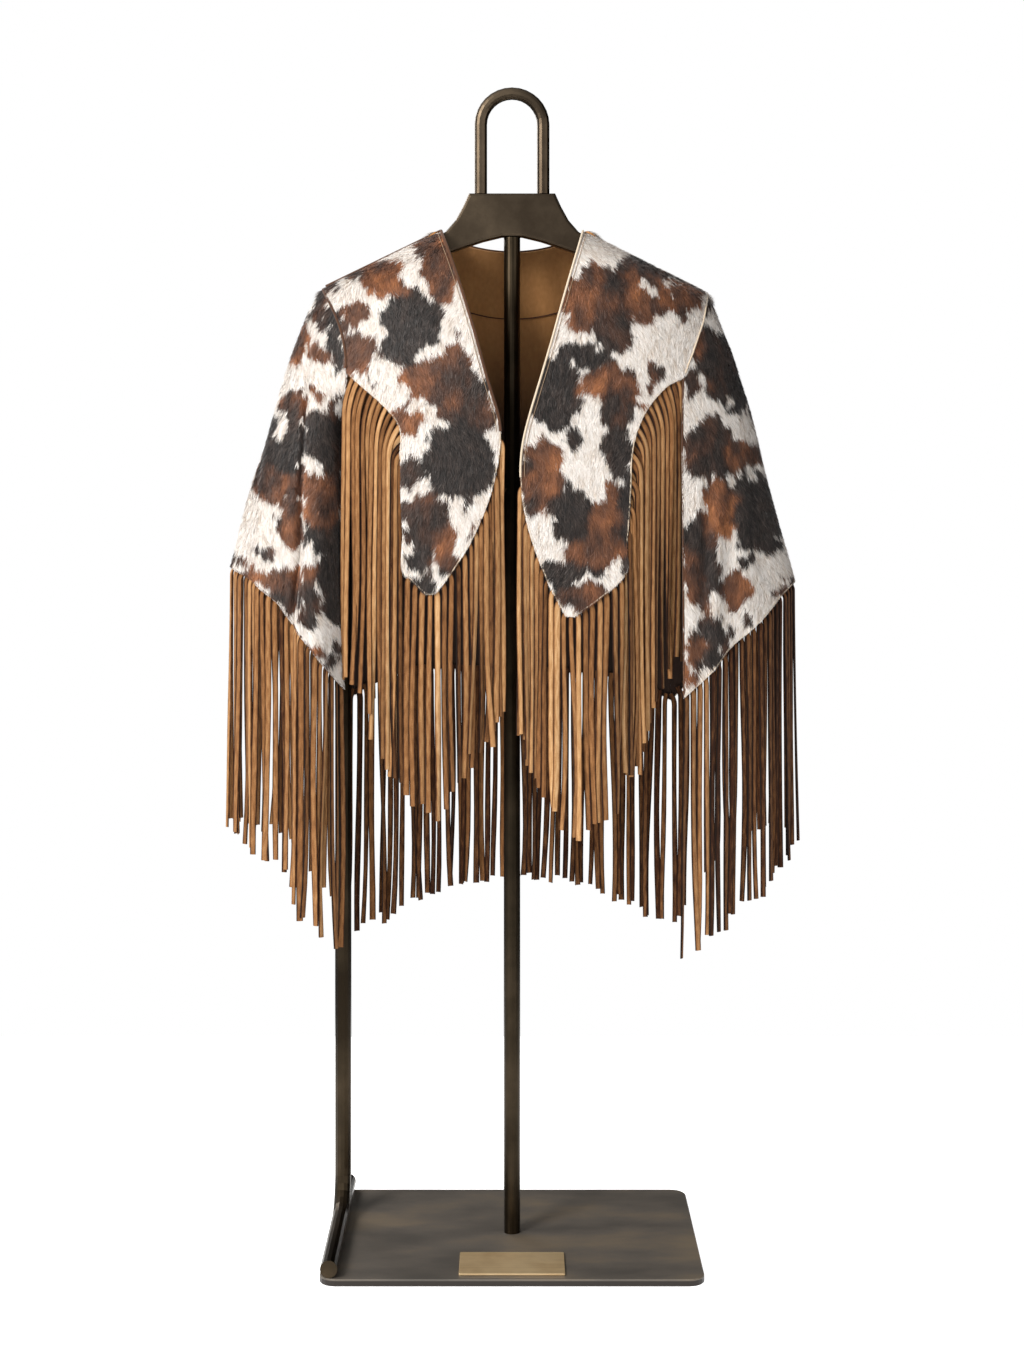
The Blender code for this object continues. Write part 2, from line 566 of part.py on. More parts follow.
def build_back():
    """The back, and the suede facing that follows its neckline inside."""
    outer, into = back_surface()
    wall("back_panel", outer, outer + into * CLOTH, HIDE_DARK)
    at_neck = np.abs(outer[0, :, 0]) < FACING_SHARE * NECK_X
    outer, into = outer[:FACING_ROWS, at_neck], into[:FACING_ROWS, at_neck]
    near = outer + into * (CLOTH + SEAM)
    wall("back_neck_facing", near, near + into * FACING, SUEDE)


# ---------------------------------------------------------------- fringe
def comb(name, hem, up, into, tips, pitch=STRAND_PITCH, width=STRAND_WIDTH):
    """Fringe of flat strands on one narrow strip that lies behind a hem.

    hem is a run of points along the edge, up their directions up the panel and into
    those into the hollow. Strands are spaced along the level length of the hem, hang
    straight down and end at the heights tips(share, x). The strip tapers upwards.
    """
    level_steps = np.hypot(*np.diff(hem[:, :2], axis=0).T)
    length = np.concatenate([[0.0], np.cumsum(level_steps)])
    count = int((length[-1] - width) / pitch) + 1
    margin = (length[-1] - (count - 1) * pitch) / 2
    middles = margin + pitch * np.arange(count)
    stations = np.stack([middles - width / 2, middles + width / 2], axis=1).ravel()

    def at(values, where):
        return np.stack([np.interp(where, length, values[:, k]) for k in range(3)], axis=1)

    edge, rise, inner = at(hem, stations), at(up, stations), at(into, stations)
    front_low = edge + inner * (CLOTH + STRIP_GAP) - rise * STRIP_DROP
    back_low = front_low + inner * STRIP_THICK
    top = front_low + rise * STRIP_RISE + inner * STRIP_THICK / 2
    points = [row for trio in zip(front_low, back_low, top) for row in trio]
    faces = []
    for k in range(len(stations) - 1):
        f, b, t = 3 * k, 3 * k + 1, 3 * k + 2
        faces += [(f, t, t + 3, f + 3), (b, b + 3, t + 3, t)]
        if k % 2:
            faces.append((f, f + 3, b + 3, b))
    last = 3 * (len(stations) - 1)
    faces += [(0, 1, 2), (last, last + 2, last + 1)]

    middle_points = at(hem, middles)
    tip_heights = tips(middles / length[-1], middle_points[:, 0])
    for k in range(count):
        left, right = 2 * k, 2 * k + 1
        along = edge[right] - edge[left]
        along[2] = 0.0
        along /= np.linalg.norm(along)
        out = np.array([along[1], -along[0], 0.0])
        if np.dot(out, inner[left]) > 0:
            out = -out
        tip_z = tip_heights[k] + STRAND_UNEVEN * (math.sin(2.3 * k) + math.sin(5.1 * k + 1))
        corners = [3 * left, 3 * right, 3 * right + 1, 3 * left + 1]
        previous = corners
        thin = (STRIP_THICK - STRAND_THICK) / 2
        root_z = min(front_low[left][2], front_low[right][2])
        for share in (0.45, 1.0):
            sway = along * STRAND_SWAY * share * math.sin(0.9 * k + 1)
            sway = sway + out * STRAND_LEAN * share * math.sin(1.9 * k)
            start = len(points)
            for corner, depth in zip(corners, (-thin, -thin, thin, thin)):
                place = points[corner] + out * depth + sway
                place = np.array([place[0], place[1], root_z + (tip_z - root_z) * share])
                points.append(place)
            here = [start, start + 1, start + 2, start + 3]
            for j in range(4):
                faces.append((previous[j], previous[(j + 1) % 4], here[(j + 1) % 4], here[j]))
            previous = here
        faces.append(tuple(previous))
    solid(name, points, faces, SUEDE, smooth=False)


def hem_on_form(x, z, facing):
    """Points of a hem, with their directions up the form and into the hollow."""
    points = on_form(x, z, facing)
    up = on_form(x, z + STRIP_RISE, facing) - points
    return points, up / np.linalg.norm(up, axis=1, keepdims=True), inward(points, facing)


def edge_run(side, table, steps):
    """A stretch of a front panel's edge."""
    z, x = np.array(table).T
    where = np.linspace(0, len(z) - 1, steps)
    knots = np.arange(len(z))
    return hem_on_form(side * np.interp(where, knots, x), np.interp(where, knots, z), "front")


def heights(table):
    return lambda share, x: look_up(table, x)


def build_front_fringe(side, name, tips):
    """From the top of the slanted inner edge, round the point, to the outer edge."""
    if side < 0:
        inner_run, outer_edge = NECKLINE_LEFT[FRINGE_FROM_LEFT:], OUTER_LEFT
    else:
        inner_run, outer_edge = NECKLINE_RIGHT[FRINGE_FROM_RIGHT:], OUTER_RIGHT
    run = list(inner_run) + list(reversed(outer_edge[-3:]))
    comb(name, *edge_run(side, run, 90), heights(tips))


def build_armhole_fringe(side, name, tips):
    """From the top of the panel's outer edge, up the curve to the sleeve."""
    outer_edge = OUTER_LEFT if side < 0 else OUTER_RIGHT
    armhole_end = edge_rows(side, "front")[ARMHOLE_ROWS - 1]
    run = [(armhole_end - 0.0015, float(sleeve_edge(side, armhole_end)) - 0.0020)]
    run += list(outer_edge[:4])
    comb(name, *edge_run(side, run, 60), heights(tips),
         ARMHOLE_STRAND_PITCH, ARMHOLE_STRAND_WIDTH)


def build_back_fringe():
    x = np.linspace(*BACK_FRINGE, 120)
    comb("fringe_back", *hem_on_form(x, look_up(HEM_BACK, x), "back"), heights(TIPS_BACK))


def build_sleeve_fringe(side, name, tips):
    """Made from the sleeve's own hem points, so that it follows the crease."""
    share = np.linspace(-1.0, 1.0, SLEEVE_COLUMNS + 1)
    outer, into = sleeve_surface(side, share)
    up = outer[-2] - outer[-1]
    up /= np.linalg.norm(up, axis=1, keepdims=True)
    comb(name, outer[-1], up, into[-1], lambda part, x: look_up(tips, part))


# ---------------------------------------------------------------- whole
def main():
    for thing in list(bpy.data.objects):
        bpy.data.objects.remove(thing, do_unlink=True)
    build_base()
    build_pole()
    build_side_tube()
    build_hanger()
    build_loop()
    build_back()
    for side, word in ((-1, "left"), (1, "right")):
        build_front(side, "front_" + word)
        build_sleeve(side, "sleeve_" + word)
    build_front_fringe(-1, "fringe_front_left", TIPS_FRONT_LEFT)
    build_front_fringe(1, "fringe_front_right", TIPS_FRONT_RIGHT)
    build_armhole_fringe(-1, "fringe_armhole_left", TIPS_ARMHOLE_LEFT)
    build_armhole_fringe(1, "fringe_armhole_right", TIPS_ARMHOLE_RIGHT)
    build_sleeve_fringe(-1, "fringe_sleeve_left", TIPS_SLEEVE_LEFT)
    build_sleeve_fringe(1, "fringe_sleeve_right", TIPS_SLEEVE_RIGHT)
    build_back_fringe()


main()
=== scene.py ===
"""Looks of a fringed hide cape on its metal stand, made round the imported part.

Metres, +Z up, the cape opens towards -Y. Left and right are the viewer's. The panels are
cut from the same form as the solids: at each height the section of the cape is a
superellipse, |x / half_width|^n + |y / depth|^m = 1, with its own depth and powers in
front and behind. Here the same panels are finer, and carry hair, patches and fringe.
"""

import math

import bmesh
import bpy
import numpy as np
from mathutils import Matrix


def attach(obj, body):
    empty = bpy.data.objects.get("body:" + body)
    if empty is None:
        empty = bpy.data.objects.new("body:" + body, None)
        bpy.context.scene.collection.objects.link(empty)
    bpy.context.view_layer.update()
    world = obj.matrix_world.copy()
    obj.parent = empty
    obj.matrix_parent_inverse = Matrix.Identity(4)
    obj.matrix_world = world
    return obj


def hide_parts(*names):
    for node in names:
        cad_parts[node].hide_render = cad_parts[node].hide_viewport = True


bl_info = {
    "name": "Fringed hide cape on a stand",
    "version": (1, 0, 0),
    "blender": (4, 5, 0),
    "location": "View3D > Sidebar > Cape",
    "description": "Hide panels with hair and patches, suede fringe and a bronze stand",
    "category": "Object",
}

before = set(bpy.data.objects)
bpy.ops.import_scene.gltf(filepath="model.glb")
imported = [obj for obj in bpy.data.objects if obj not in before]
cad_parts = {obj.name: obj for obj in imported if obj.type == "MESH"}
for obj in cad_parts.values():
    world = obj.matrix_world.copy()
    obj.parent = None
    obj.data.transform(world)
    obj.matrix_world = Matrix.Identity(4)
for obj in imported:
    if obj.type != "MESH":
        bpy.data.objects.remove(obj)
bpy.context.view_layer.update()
BODY = "root"
LEFT, RIGHT = -1, 1                      # signs of x on the viewer's left and right
SIDES = {LEFT: "left", RIGHT: "right"}

# ---------------------------------------------------------------- sizes of the part
CLOTH, SEAM, FACING = 0.0020, 0.0003, 0.0012
NECK_X, NECK_Z, BACK_NECK_Z = 0.0817, 1.1583, 1.1412
SHOULDER = {LEFT: (0.2174, 1.0927), RIGHT: (0.2243, 1.0881)}     # x and height
# half width of the whole form: (height, half width)
WIDTH = {
    LEFT: (
        (NECK_Z + 0.0200, NECK_X - 0.0413), (NECK_Z, NECK_X), SHOULDER[LEFT][::-1],
        (1.0651, 0.2335), (1.0133, 0.2542), (0.9512, 0.2726), (0.8730, 0.2956), (0.7741, 0.3221),
        (0.5600, 0.3780)),
    RIGHT: (
        (NECK_Z + 0.0200, NECK_X - 0.0406), (NECK_Z, NECK_X),
        SHOULDER[RIGHT][::-1], (1.0179, 0.2519), (0.9535, 0.2726),
        (0.8902, 0.2887), (0.8304, 0.3048), (0.7568, 0.3232), (0.5600, 0.3720)),
}
# depth at the middle: (drop below the neck point, in front, behind)
DEPTH = ((0.000, 0.050, 0.054), (0.016, 0.056, 0.064), (0.038, 0.063, 0.075),
         (0.069, 0.072, 0.086), (0.101, 0.081, 0.094), (0.154, 0.090, 0.102),
         (0.207, 0.096, 0.106), (0.313, 0.104, 0.110), (0.419, 0.110, 0.112),
         (0.525, 0.117, 0.114), (0.900, 0.125, 0.118))
POWERS = {"front": (2.6, 1.7), "back": (3.0, 1.8)}
# line where sleeve and body meet, then the sleeve's inner edge: (height, half width)
ARMHOLE = {
    LEFT: (
        (SHOULDER[LEFT][1], 0.2172), (1.0707, 0.2042), (1.0471, 0.1933), (1.0195, 0.1868),
        (0.9946, 0.1852), (0.9400, 0.1890), (0.5500, 0.1890)),
    RIGHT: (
        (SHOULDER[RIGHT][1], 0.2241), (1.0550, 0.2169), (1.0258, 0.2065), (0.9913, 0.1935),
        (0.9400, 0.1900), (0.5500, 0.1900)),
}
# front panels, neckline edge and outer edge: (height, half width)
NECKLINE = {
    LEFT: (
        (NECK_Z, NECK_X), (1.1185, 0.0674), (1.0804, 0.0548), (1.0351, 0.0412), (0.9847, 0.0277),
        (0.9491, 0.0166), (0.9292, 0.0122), (0.9015, 0.0144), (0.8684, 0.0210), (0.8386, 0.0309),
        (0.8045, 0.0463), (0.7725, 0.0661), (0.7483, 0.0871)),
    RIGHT: (
        (NECK_Z, NECK_X), (1.1092, 0.0673), (1.0690, 0.0558), (1.0239, 0.0434), (0.9825, 0.0311),
        (0.9458, 0.0199), (0.9126, 0.0122), (0.8794, 0.0099), (0.8463, 0.0132), (0.8078, 0.0221),
        (0.7693, 0.0364), (0.7440, 0.0485), (0.7242, 0.0605)),
}
OUTER = {
    LEFT: (
        (0.9809, 0.1698), (0.9662, 0.1526), (0.9494, 0.1356), (0.9315, 0.1243), (0.8850, 0.1230),
        (0.8300, 0.1216), (0.7745, 0.1204), (0.7603, 0.1070), (0.7483, 0.0950)),
    RIGHT: (
        (0.9798, 0.1744), (0.9651, 0.1594), (0.9494, 0.1480), (0.9293, 0.1389), (0.9015, 0.1331),
        (0.8517, 0.1307), (0.8020, 0.1271), (0.7723, 0.1259), (0.7439, 0.0970), (0.7242, 0.0680)),
}
# rows of the fronts below the armhole: (height outside, height at the neckline edge)
ROWS = {
    LEFT: (
        (0.9809, 1.012), (0.9662, 0.990), (0.9494, 0.968), (0.9315, 0.9450), (0.9050, 0.9180),
        (0.8750, 0.8890), (0.8450, 0.8580), (0.8120, 0.8260), (0.7745, 0.7930), (0.7603, 0.7680),
        (0.7483, 0.7483)),
    RIGHT: (
        (0.9798, 1.010), (0.9651, 0.988), (0.9494, 0.966), (0.9293, 0.9420), (0.9015, 0.9130),
        (0.8680, 0.8810), (0.8350, 0.8480), (0.8020, 0.8140), (0.7723, 0.7810), (0.7439, 0.7510),
        (0.7242, 0.7242)),
}
# sleeve hems: (half width, height), and the back's hem: (x, height)
HEM_FRONT = {
    LEFT: (
        (0.1890, 0.6400), (0.1933, 0.6452), (0.2037, 0.6702), (0.2300, 0.6883), (0.2420, 0.7080),
        (0.2452, 0.7199), (0.2702, 0.7413), (0.2924, 0.7594), (0.3221, 0.7741)),
    RIGHT: (
        (0.1854, 0.6267), (0.1934, 0.6397), (0.2241, 0.6630), (0.2369, 0.6825), (0.2686, 0.7068),
        (0.3061, 0.7429), (0.3232, 0.7568)),
}
HEM_BEHIND = {
    LEFT: (
        (0.1890, 0.6150), (0.2150, 0.6420), (0.2400, 0.6750), (0.2700, 0.7150), (0.3000, 0.7550),
        (0.3221, 0.7741)),
    RIGHT: (
        (0.1900, 0.6090), (0.2150, 0.6350), (0.2400, 0.6680), (0.2700, 0.7050), (0.3000, 0.7380),
        (0.3232, 0.7568)),
}
HEM_BACK = ((-0.1890, 0.6150), (-0.1700, 0.6270), (-0.1400, 0.6390), (-0.1044, 0.6463),
            (0.0, 0.6438), (0.0949, 0.6403), (0.1300, 0.6340), (0.1600, 0.6240),
            (0.1900, 0.6090))
# heights of the strand ends: (x, height), and for sleeves (share of the way round, height)
TIPS_FRONT = {
    LEFT: (
        (-0.1204, 0.527), (-0.1065, 0.516), (-0.0911, 0.5075), (-0.0801, 0.5065), (-0.0593, 0.539),
        (-0.0483, 0.551), (-0.0340, 0.574), (-0.0220, 0.589), (-0.0165, 0.607), (-0.0122, 0.612)),
    RIGHT: (
        (0.0100, 0.594), (0.0154, 0.565), (0.0241, 0.549), (0.0406, 0.515), (0.0603, 0.4836),
        (0.0724, 0.479), (0.0911, 0.491), (0.1098, 0.505), (0.1260, 0.522)),
}
TIPS_ARMHOLE = {
    LEFT: (
        (-0.1850, 0.656), (-0.1766, 0.649), (-0.1631, 0.638), (-0.1541, 0.608), (-0.1441, 0.5715),
        (-0.1352, 0.552), (-0.1240, 0.536)),
    RIGHT: (
        (0.1380, 0.548), (0.1419, 0.577), (0.1497, 0.590), (0.1620, 0.626), (0.1699, 0.6445),
        (0.1801, 0.668), (0.1900, 0.676)),
}
TIPS_BACK = ((-0.1890, 0.330), (-0.1752, 0.337), (-0.1453, 0.351), (-0.1226, 0.370),
             (-0.0866, 0.3815), (-0.0529, 0.390), (0.0, 0.397), (0.0601, 0.391),
             (0.0974, 0.3816), (0.1285, 0.371), (0.1644, 0.3536), (0.1900, 0.339))
TIPS_SLEEVE = {
    LEFT: (
        (0.00, 0.352), (0.06, 0.356), (0.12, 0.380), (0.20, 0.396), (0.26, 0.432), (0.36, 0.452),
        (0.50, 0.482), (0.60, 0.474), (0.72, 0.452), (0.84, 0.410), (0.93, 0.365), (1.00, 0.335)),
    RIGHT: (
        (0.00, 0.345), (0.06, 0.362), (0.14, 0.378), (0.24, 0.402), (0.34, 0.428), (0.44, 0.452),
        (0.50, 0.470), (0.60, 0.468), (0.72, 0.446), (0.84, 0.408), (0.93, 0.365), (1.00, 0.340)),
}
SLEEVE_ROWS = (0.0, 0.012, 0.035, 0.070, 0.110, 0.150, 0.210,
               0.290, 0.380, 0.480, 0.580, 0.680, 0.780, 0.870, 0.940, 1.0)
ARMHOLE_ROWS = 7
SLEEVE_COLUMNS, FRONT_COLUMNS = 20, 12
TOP_DROP, TOP_BEND, SEAM_INSET = 0.0006, 0.0017, 0.0004
BACK_NECK_COLUMNS = (0.0, 0.22, 0.44, 0.64, 0.80, 0.91, 0.97)
BACK_SHOULDER_COLUMNS = (0.0, 0.17, 0.36, 0.55, 0.77, 1.0)
FACING_ROWS, FACING_SHARE = 7, 0.92
FRINGE_FROM = {LEFT: NECKLINE[LEFT][6][0], RIGHT: NECKLINE[RIGHT][7][0]}
BACK_FRINGE = (-0.1865, 0.1875)          # where the back's fringe begins and ends
# the left sleeve's long fold: (height, half width)
CREASE = ((1.0700, 0.2290), (0.8735, 0.2357), (0.8070, 0.2370), (0.7120, 0.2430))
CREASE_LIFT, CREASE_REACH, CREASE_SOFT = 0.0120, 0.024, 0.0034
CREASE_GROOVE, CREASE_CURL = 0.0130, 0.040
CREASE_TOP, CREASE_FULL = 1.060, 0.980   # heights between which the fold comes in
EDGE_FREE = 0.05                         # drop over which the sleeve's edge comes free
FRONT_HALF = -0.004                      # only what has less y than this is creased
SLEEVE_FOLDS = (0.0022, 7.0, 0.35)       # depth of soft folds, their count, where they start
BACK_FOLDS = (0.0040, 9.0, 0.30)
FOLD_FADE, SIDE_FADE, TOP_FADE = 0.35, 0.10, 0.08    # shares over which folds come in

# ---------------------------------------------------------------- view of the photograph
CAMERA_PLACE = (0.0, -2.572, 0.896)
CAMERA_LENS, CAMERA_SHIFT = 59.3, -0.161
PIXELS_PER_SLOPE = 2236.0                # pixels for each metre aside at a metre ahead
PICTURE_MIDDLE, HORIZON = 512.0, 460.0   # pixel column of x = 0, pixel row of eye height
PIXEL = 0.00115                          # metres for each pixel in the plane y = 0
FLOOR_HALF = 0.9
PAINTED_SHADE_TOP = 0.0076                      # height below which the stand's colour darkens: painted shade at the plate's lower edge
BRIGHT_WAY = (-0.55, -0.62, 0.56)        # where the surround is brightest
SKY_SLOPE, SKY_LEVEL = 1.5, 0.45         # how it brightens that way, and its middle
WARM_LIGHT = (1.0, 0.97, 0.93)

# ---------------------------------------------------------------- hide patches
# Each row is one blot: place across and down, radii across and down, turn in degrees, tone.
# Fronts and sleeves are in pixels of the view, the hidden sides in the same unit.
BROWN, WARM, DARK, BLACK, WHITE = 0.30, 0.12, 0.60, 0.95, -1.0
PATCHES_FRONT = {
    LEFT: (
        (440, 264, 16, 35, -14, BROWN), (430, 245, 15, 5, -25, DARK), (440, 258, 9, 16, 0, DARK),
        (409, 270, 6, 13, 0, WHITE), (345, 276, 26, 4, -30, DARK), (383, 272, 20, 14, -10, BROWN),
        (389, 283, 17, 11, 0, WARM), (355, 310, 12, 9, 0, BROWN), (341, 322, 4, 13, -12, DARK),
        (420, 256, 6, 5, 0, WHITE), (440, 378, 18, 16, 0, BROWN), (408, 312, 25, 22, 0, BLACK),
        (430, 318, 13, 17, 20, BLACK), (397, 343, 14, 18, 0, BLACK), (412, 335, 14, 12, 0, BLACK),
        (390, 352, 7, 9, 0, DARK), (358, 349, 15, 21, 0, BROWN), (368, 345, 6, 10, 0, DARK),
        (372, 382, 4, 4, 0, DARK), (418, 375, 16, 18, 0, BROWN), (455, 361, 17, 17, 0, BROWN),
        (459, 389, 29, 27, 0, DARK), (476, 409, 18, 19, 0, DARK), (452, 402, 12, 10, 0, BROWN),
        (407, 414, 13, 15, 0, BROWN), (417, 406, 4, 4, 0, WHITE), (459, 457, 36, 35, 0, BLACK),
        (411, 470, 13, 13, 0, DARK), (428, 518, 24, 25, 0, DARK), (438, 528, 12, 12, 0, BROWN),
        (419, 554, 16, 12, 0, BLACK), (448, 549, 10, 19, 0, BROWN), (422, 582, 15, 10, 0, BLACK),
        (469, 498, 4, 4, 0, DARK), (447, 508, 4, 4, 0, DARK), (472, 522, 3, 4, 0, DARK),
        (472, 533, 4, 4, 0, DARK), (457, 329, 2, 5, 0, DARK), (444, 569, 6, 7, 0, DARK)),
    RIGHT: (
        (592, 296, 27, 31, 0, BROWN), (585, 312, 12, 12, 0, WARM), (615, 298, 14, 36, 0, DARK),
        (610, 284, 9, 15, 0, BLACK), (645, 289, 22, 28, 0, BROWN), (636, 262, 16, 10, 0, DARK),
        (656, 300, 12, 12, 0, DARK), (612, 334, 19, 13, 0, DARK), (643, 283, 7, 5, 0, WHITE),
        (654, 288, 5, 4, 0, WHITE), (668, 271, 23, 4, 27, BLACK), (686, 294, 14, 14, 0, BROWN),
        (684, 304, 6, 12, 0, DARK), (578, 351, 21, 12, 0, BLACK), (554, 389, 24, 37, 0, BLACK),
        (595, 354, 13, 6, 0, BLACK), (606, 378, 24, 16, 0, BROWN), (619, 395, 18, 17, 0, DARK),
        (598, 382, 12, 8, 0, WARM), (616, 416, 13, 11, 0, DARK), (636, 399, 6, 9, 0, BROWN),
        (633, 366, 4, 4, 0, DARK), (653, 368, 7, 8, 0, DARK), (652, 380, 5, 5, 0, BROWN),
        (572, 434, 7, 9, 20, BLACK), (618, 441, 13, 28, 0, BLACK), (627, 508, 7, 62, 0, BLACK),
        (541, 472, 19, 35, 0, BROWN), (527, 464, 8, 10, 0, BLACK), (534, 494, 9, 9, 0, BLACK),
        (552, 464, 8, 14, 0, WARM), (572, 511, 19, 27, 0, BLACK), (604, 527, 21, 31, 0, BROWN),
        (608, 530, 11, 17, 0, DARK), (612, 494, 8, 12, 0, BROWN), (594, 547, 27, 15, 0, BROWN),
        (582, 543, 10, 9, 0, WARM), (558, 571, 17, 15, 0, BLACK), (589, 569, 14, 5, 0, BLACK),
        (583, 592, 26, 12, 0, BROWN), (574, 598, 10, 8, 0, DARK), (584, 577, 5, 2.5, 0, WHITE)),
}
PATCHES_SLEEVE = {
    LEFT: (
        # (336, 339) is a dark blot by the armhole: painted shade at the sleeve's inner edge
        (322, 308, 8, 16, 0, DARK), (336, 339, 7, 33, -5, BLACK), (300, 338, 8, 21, 15, BROWN),
        (304, 322, 4, 12, 15, DARK), (320, 350, 8, 8, 0, BROWN), (294, 412, 9, 22, 0, DARK),
        (299, 400, 7, 10, 0, BROWN), (314, 389, 6, 7, 0, BROWN), (325, 433, 17, 25, 0, BLACK),
        (313, 330, 4, 16, 10, WHITE), (309, 396, 3, 22, 5, WHITE), (281, 445, 25, 23, 0, BLACK),
        (272, 428, 9, 13, 12, BLACK), (286, 424, 5, 11, 0, WHITE), (279, 480, 26, 17, 0, BROWN),
        # (334, 455) is a long dark blot down the inner edge: painted shade where the sleeve curls
        # in
        (267, 474, 12, 12, 0, DARK), (334, 455, 8, 60, 0, DARK), (323, 498, 18, 26, 0, BROWN),
        (314, 486, 8, 11, 0, WARM), (323, 535, 18, 15, 0, BLACK), (331, 580, 12, 44, 0, BLACK),
        (278, 516, 5, 5, 0, DARK), (264, 550, 6, 7, 0, DARK), (237, 555, 6, 7, 0, DARK),
        (291, 523, 10, 24, 0, BROWN), (291, 509, 7, 10, 0, DARK), (252, 573, 9, 8, 0, BROWN),
        (282, 580, 19, 15, 0, BROWN), (284, 591, 13, 10, 0, BLACK), (293, 604, 8, 9, 0, DARK),
        (309, 566, 8, 8, 0, BROWN), (309, 600, 9, 24, 0, DARK), (313, 646, 9, 6, 0, BROWN),
        (326, 656, 8, 7, 0, BLACK), (334, 648, 3, 6, 0, DARK), (297, 618, 3, 16, 0, WHITE),
        (309, 549, 6, 7, 0, WHITE)),
    RIGHT: (
        (691, 306, 9, 12, 0, BLACK), (702, 297, 9, 9, 0, DARK), (698, 341, 10, 16, 0, BROWN),
        (718, 361, 18, 34, -12, DARK), (709, 350, 9, 24, 0, BLACK), (732, 389, 14, 18, 0, BLACK),
        (691, 379, 6, 12, -8, DARK), (725, 395, 3, 4, 0, WHITE), (748, 414, 3, 6, -15, DARK),
        (707, 443, 20, 31, 0, DARK), (715, 452, 10, 20, 0, BLACK), (691, 450, 6, 14, 0, BROWN),
        (741, 451, 15, 15, 0, BROWN), (746, 447, 8, 8, 0, DARK), (752, 507, 20, 40, -6, BLACK),
        (767, 510, 7, 16, -12, BROWN), (750, 470, 4, 9, -20, WHITE), (722, 505, 16, 26, 0, WARM),
        (717, 512, 9, 14, 0, BROWN), (705, 486, 4, 4, 0, BROWN), (779, 525, 5, 18, -15, BLACK),
        (765, 546, 6, 8, 0, BLACK), (742, 558, 6, 8, 0, BLACK), (701, 556, 16, 44, 0, DARK),
        (697, 530, 13, 14, 0, BLACK), (695, 572, 9, 22, 0, BROWN), (736, 588, 13, 17, 0, BROWN),
        (746, 576, 3, 4, 0, BROWN), (721, 583, 5, 8, -25, DARK), (746, 614, 4.5, 4.5, 0, DARK),
        (721, 619, 3.5, 5, -20, DARK), (733, 630, 2, 4, 0, DARK), (703, 614, 7, 8, 0, DARK),
        (711, 628, 11, 14, 0, BLACK), (695, 646, 10, 14, 0, BROWN), (715, 654, 12, 12, 0, BLACK),
        (726, 640, 4, 8, -20, DARK), (687, 675, 5, 12, 10, BROWN), (786, 588, 7, 9, 25, DARK),
        (790, 577, 4, 9, -10, DARK), (778, 576, 3, 3, 0, DARK), (719, 671, 5, 3, 0, DARK),
        (690, 606, 8, 7, 0, WHITE)),
}
# hidden back of a sleeve: across is counted outwards from the silhouette, then round behind
PATCHES_BEHIND_SLEEVE = (
    (20, 330, 20, 30, 10, DARK), (42, 352, 20, 18, 0, BROWN), (34, 404, 28, 18, 20, BLACK),
    (60, 420, 16, 28, 0, BROWN), (20, 462, 13, 26, 0, BROWN), (90, 372, 18, 38, 0, BLACK),
    (64, 478, 32, 20, 0, DARK), (98, 446, 18, 30, 0, BROWN), (18, 520, 16, 18, 0, BLACK),
    (48, 530, 6, 7, 0, DARK), (84, 530, 30, 26, 0, BLACK), (122, 504, 20, 36, 0, BROWN),
    (58, 574, 26, 16, -10, BROWN), (30, 580, 7, 9, 0, DARK), (106, 580, 24, 24, 0, DARK),
    (86, 620, 22, 16, 0, BLACK), (124, 632, 16, 22, 0, BROWN), (62, 606, 5, 5, 0, DARK),
    (134, 560, 12, 20, 0, BLACK), (104, 652, 12, 10, 0, BROWN), (82, 542, 6, 7, 0, WHITE))
